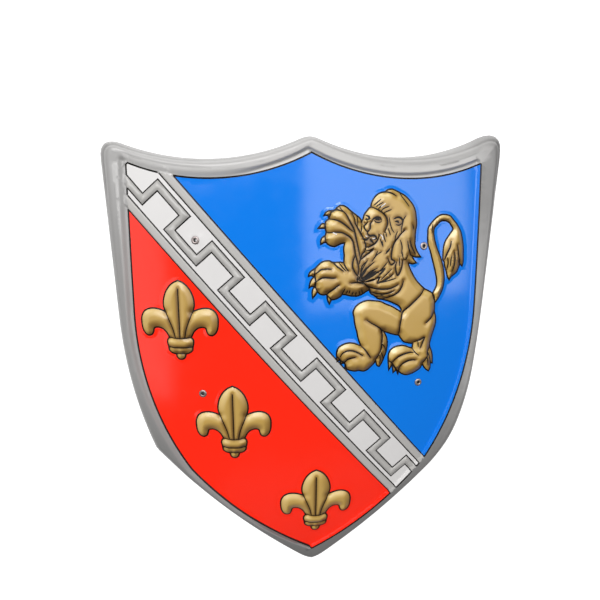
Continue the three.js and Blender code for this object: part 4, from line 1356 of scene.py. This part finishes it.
def gilt_painted_light(xy):
    """Painted light on the gilt: 0 in its deepest painted shade, 1 at its palest painted highlight."""
    facing = -slope_along(figure_rise, xy, GILT_LIGHT_FROM)
    fold_distance, fold = nearest(fold_tree, xy)
    edge_distance, _ = nearest(outline_tree, xy)
    # painted highlight where the form faces the light; painted shade where it turns away, in folds, at the
    # edge and in hollows
    shade = GILT_MIDDLE + GILT_CONTRAST * np.clip(facing, -1, 1)
    shade -= GILT_FOLD_SHADE * fold_depths[fold] * np.exp(-(fold_distance / GILT_FOLD_REACH) ** 2)
    shade -= GILT_EDGE_SHADE * np.exp(-(edge_distance / GILT_EDGE_REACH) ** 2)
    for x, y, reach, amount in GILT_SHADED_HOLLOWS:
        away = np.hypot(xy[:, 0] - LION_PLACE[0] - x, xy[:, 1] - LION_PLACE[1] - y)
        shade -= amount * np.exp(-(away / reach) ** 2)
    return np.clip(shade, 0, 1)


def keep_on_shell(name, values):
    """Keeps a value for each point of the shell as an attribute of its mesh."""
    shell.data.attributes.new(name, "FLOAT", "POINT").data.foreach_set("value", values)
    print(name, "from", round(float(values.min()), 2), "to", round(float(values.max()), 2))


gilt_light_and_shade = np.zeros(len(vertices), np.float32)
gilt_light_and_shade[: len(flat)] = gilt_painted_light(flat)
keep_on_shell("gilt_painted_light", gilt_light_and_shade)

# %% [markdown]
# ## Painted light on the silver
# The silver of the border is one even print, and the light on it is painted: pale along the top, mid grey
# down the sides and darkest at the foot, as light from the top falls. Tones are given round the outline,
# each with its share of the way, and so is the painted shade that darkens them outwards. They are kept as
# a second attribute.

# %% Silver tones
RIGHT_PAINTED_LIGHT = ((0, 102), (0.2, 107), (0.4, 118), (0.55, 137), (0.75, 133), (0.9, 112), (1, 118))
TOP_PAINTED_LIGHT = ((0, 146), (0.06, 170), (0.5, 172), (0.94, 176), (1, 170))
LEFT_PAINTED_LIGHT = ((0, 153), (0.2, 140), (0.45, 137), (0.6, 121), (0.75, 113), (1, 102))
# painted shade outwards over the roll, deepest in the crease and at the trimmed edge
OUTWARD_PAINTED_SHADE = ((0, 0.4, 0.68, 0.74, 0.8, 1), (1.12, 0.98, 0.9, 0.7, 0.82, 0.68))


def tones_along(tones, count):
    """Grey tones at even steps, as linear light."""
    shares, greys = np.array(tones).T
    return (np.interp(np.linspace(0, 1, count), shares, greys) / 255) ** 2.2


flank_count = SIDE_STEPS + FOOT_STEPS + CORNER_STEPS // 2
top_count = len(field_line) - 2 * flank_count
outline_painted_light = np.concatenate([tones_along(RIGHT_PAINTED_LIGHT, flank_count), tones_along(TOP_PAINTED_LIGHT, top_count),
                                tones_along(LEFT_PAINTED_LIGHT, flank_count)])
ring_painted_light = [outline_painted_light * np.interp(share, *OUTWARD_PAINTED_SHADE) for share in OUTER_SHARES]
tones = np.full(len(vertices), float(outline_painted_light.mean()), np.float32)
off_field, at = nearest(field_points_tree, flat)
tones[: len(flat)] = outline_painted_light[at] * np.interp(off_field / border_widths[at], *OUTWARD_PAINTED_SHADE)
tones[len(flat): len(flat) + len(outer_rings) * count] = np.concatenate(ring_painted_light)
keep_on_shell("silver_painted_light", tones)

# %% [markdown]
# ## Shared surface effects
# Formed sheet is never quite flat, and handled gloss is never quite even. Both effects are small node
# groups that each material uses with its own values.

# %% Surface groups
def new_group(name, inputs, output):
    """An empty shader group: its node tree, the group input and the group output."""
    group = bpy.data.node_groups.new(name, "ShaderNodeTree")
    for socket_name, value in inputs.items():
        socket = group.interface.new_socket(name=socket_name, in_out="INPUT", socket_type="NodeSocketFloat")
        socket.default_value = value
    group.interface.new_socket(name=output, in_out="OUTPUT", socket_type="NodeSocketFloat")
    return group, group.nodes.new("NodeGroupInput"), group.nodes.new("NodeGroupOutput")


def noise_in(group, scale_socket, detail):
    """Noise on the object's own coordinates."""
    place = group.nodes.new("ShaderNodeTexCoord")
    noise = group.nodes.new("ShaderNodeTexNoise")
    noise.inputs["Detail"].default_value = detail
    group.links.new(place.outputs["Object"], noise.inputs["Vector"])
    group.links.new(scale_socket, noise.inputs["Scale"])
    return noise


waves, waves_in, waves_out = new_group("formed sheet waves", {"Scale": 14, "Depth": 1}, "Height")
waves_noise = noise_in(waves, waves_in.outputs["Scale"], 1.0)
waves_scaled = waves.nodes.new("ShaderNodeMath")
waves_scaled.operation = "MULTIPLY"
waves.links.new(waves_noise.outputs["Fac"], waves_scaled.inputs[0])
waves.links.new(waves_in.outputs["Depth"], waves_scaled.inputs[1])
waves.links.new(waves_scaled.outputs["Value"], waves_out.inputs["Height"])

gloss_inputs = {"Scale": 60, "Low": 0.2, "High": 0.3}
handled, handled_in, handled_out = new_group("handled gloss", gloss_inputs, "Roughness")
handled_noise = noise_in(handled, handled_in.outputs["Scale"], 4.0)
handled_range = handled.nodes.new("ShaderNodeMapRange")
handled_range.inputs["From Min"].default_value = 0.35
handled_range.inputs["From Max"].default_value = 0.65
handled.links.new(handled_noise.outputs["Fac"], handled_range.inputs["Value"])
handled.links.new(handled_in.outputs["Low"], handled_range.inputs["To Min"])
handled.links.new(handled_in.outputs["High"], handled_range.inputs["To Max"])
handled.links.new(handled_range.outputs["Result"], handled_out.inputs["Roughness"])
print("groups:", waves.name, "and", handled.name)


# %% [markdown]
# ## Materials
# Each ink of the sheet, the straps' plastic and the rivets' metal is the same kind of coat: a colour under
# gloss that wanders between two roughnesses. So one function makes them all.

# %% Materials
def srgb(text):
    """A colour as on screen, given as RRGGBB, in the linear values that a shader wants."""
    parts = [int(text[i:i + 2], 16) / 255 for i in (0, 2, 4)]
    return (*[p / 12.92 if p <= 0.04045 else ((p + 0.055) / 1.055) ** 2.4 for p in parts], 1)


def place_group(material, group, values):
    """Puts a group into a material, with its own values."""
    node = material.node_tree.nodes.new("ShaderNodeGroup")
    node.node_tree = group
    for socket_name, value in values.items():
        node.inputs[socket_name].default_value = value
    return node


def coated(name, colour, gloss, metallic=0.0, specular=0.5, wave_depth=1.0, wave_scale=14, mark_scale=60):
    """A material with uneven gloss between two roughnesses, and the sheet's waves."""
    material = bpy.data.materials.new(name)
    material.use_nodes = True
    nodes, links = material.node_tree.nodes, material.node_tree.links
    shader = nodes["Principled BSDF"]
    shader.inputs["Base Color"].default_value = srgb(colour)
    shader.inputs["Metallic"].default_value = metallic
    shader.inputs["Specular IOR Level"].default_value = specular
    marks = place_group(material, handled, {"Scale": mark_scale, "Low": gloss[0], "High": gloss[1]})
    links.new(marks.outputs["Roughness"], shader.inputs["Roughness"])
    if wave_depth:
        wave = place_group(material, waves, {"Scale": wave_scale, "Depth": wave_depth})
        bump = nodes.new("ShaderNodeBump")
        bump.inputs["Distance"].default_value = 0.0002
        links.new(wave.outputs["Height"], bump.inputs["Height"])
        links.new(bump.outputs["Normal"], shader.inputs["Normal"])
    return material


# %% Inks of the sheet
SHELL_FINISHES = {
    "silver border": dict(colour="B6B3B1", gloss=(0.36, 0.44), metallic=0.05),
    "silver band": dict(colour="AAA8A5", gloss=(0.36, 0.44)),
    "blue": dict(colour="0074DC", gloss=(0.12, 0.16)),
    "red": dict(colour="F8240A", gloss=(0.13, 0.18)),
    "gilt": dict(colour="B8924A", gloss=(0.28, 0.36)),
    "white panel": dict(colour="CFCDCC", gloss=(0.3, 0.4)),
    "ink": dict(colour="0C0806", gloss=(0.4, 0.48), specular=0.2),
    "grey back": dict(colour="A4A3A1", gloss=(0.4, 0.5)),
}
for name in INKS:
    shell.data.materials.append(coated(name, **SHELL_FINISHES[name]))
print("inks:", [material.name for material in shell.data.materials])

# %% Painted light on the silver and the gilt
# the border's grey is its painted light, from black to warm white
SILVER_COLOURS = ((0.0, "000000"), (1.0, "FFFDFB"))
# the gilt runs from painted shade through the print's tan to painted highlight
GILT_COLOURS = ((0.0, "4E3614"), (0.3, "82622C"), (0.62, "B3924C"), (0.85, "CCB070"), (1.0, "E8D4A0"))


def tone_by(material, attribute, stops):
    """Colours a material by an attribute of the mesh, through a ramp of colours."""
    nodes, links = material.node_tree.nodes, material.node_tree.links
    value = nodes.new("ShaderNodeAttribute")
    value.attribute_name = attribute
    colours = nodes.new("ShaderNodeValToRGB")
    elements = colours.color_ramp.elements
    elements.remove(elements[1])
    elements[0].color = srgb(stops[0][1])
    for position, colour in stops[1:]:
        elements.new(position).color = srgb(colour)
    links.new(value.outputs["Fac"], colours.inputs["Fac"])
    links.new(colours.outputs["Color"], nodes["Principled BSDF"].inputs["Base Color"])
    print(material.name, "follows", attribute, "over", len(elements), "colours")


tone_by(shell.data.materials[BORDER], "silver_painted_light", SILVER_COLOURS)
tone_by(shell.data.materials[GILT], "gilt_painted_light", GILT_COLOURS)

# %% Plastic and metal
strap_plastic = coated("strap plastic", "232327", (0.45, 0.6), wave_depth=0.5, wave_scale=60, mark_scale=220)
nickel = coated("nickel", "9C9290", (0.34, 0.5), metallic=0.9, wave_depth=0, mark_scale=500)
# The dark coat of the bore is painted shade over the rivet's metal.
painted_shade_bore = coated("painted shade in the bore", "1C1A18", (0.5, 0.7), wave_depth=0, mark_scale=500)
for strap in straps.values():
    strap.data.materials.append(strap_plastic)
for rivet in rivets.values():
    rivet.data.materials.append(nickel)
    rivet.data.materials.append(painted_shade_bore)
print("materials:", [m.name for m in bpy.data.materials])

# %% [markdown]
# ## Floor
# A plain white floor, lit a little from within, so that it stays as even as the white behind a product.

# %% Floor
bpy.ops.mesh.primitive_plane_add(size=8, location=(0, 0, -0.0005))
floor = bpy.context.object
floor.name = "floor"
floor_white = bpy.data.materials.new("lit white floor")
floor_white.use_nodes = True
floor_shader = floor_white.node_tree.nodes["Principled BSDF"]
floor_shader.inputs["Base Color"].default_value = (0.4, 0.4, 0.4, 1)
floor_shader.inputs["Roughness"].default_value = 0.9
floor_shader.inputs["Emission Color"].default_value = (1, 1, 1, 1)
floor_shader.inputs["Emission Strength"].default_value = 0.8
floor.data.materials.append(floor_white)
print("floor is", [round(length, 1) for length in floor.dimensions[:2]], "m")

# %% [markdown]
# ## Light
# Large soft lights, as in a small studio. In the blue a pale window shows round the lion: that is the
# mirror image of one soft box, put where the mirror line from the camera goes. It lights no matt surface,
# and the fill at the foot shows in no mirror, so that each can be set by itself. The room is dim, because a
# bright room would lie as a haze on the gloss.

# %% Lamps
def soft_box(name, place, target, size, glow):
    """A rectangular lamp whose face is as bright as the glow, white paper in full light being 1."""
    light = bpy.data.lights.new(name, "AREA")
    light.shape = "RECTANGLE"
    light.size, light.size_y = size
    light.energy = 4 * size[0] * size[1] * glow
    lamp = bpy.data.objects.new(name, light)
    lamp.location = place
    lamp.rotation_euler = (Vector(target) - Vector(place)).to_track_quat("-Z", "Y").to_euler()
    bpy.context.scene.collection.objects.link(lamp)
    return lamp


window = soft_box("window right", (1.04, 0.36, 1.5), (1.04, 0.36, 0), (1.85, 1.03), 2.5)
window.visible_diffuse = False
soft_box("key from the top", (-0.5, 1.9, 2.5), (0, -0.1, 0), (2.4, 1.6), 7.2)
soft_box("card left", (-1.9, 0.2, 1.5), (-1.9, 0.2, 0), (1.6, 2.0), 0.9)
fill = soft_box("fill at the foot", (0.2, -2.2, 1.6), (0, -0.2, 0), (2.0, 1.2), 2.2)
fill.visible_glossy = False

# %% Room and view
world = bpy.data.worlds.new("dim room")
bpy.context.scene.world = world
world.use_nodes = True
world.node_tree.nodes["Background"].inputs["Color"].default_value = (1, 1, 1, 1)
world.node_tree.nodes["Background"].inputs["Strength"].default_value = 0.15
bpy.context.scene.view_settings.view_transform = "Standard"
print("room:", world.name)
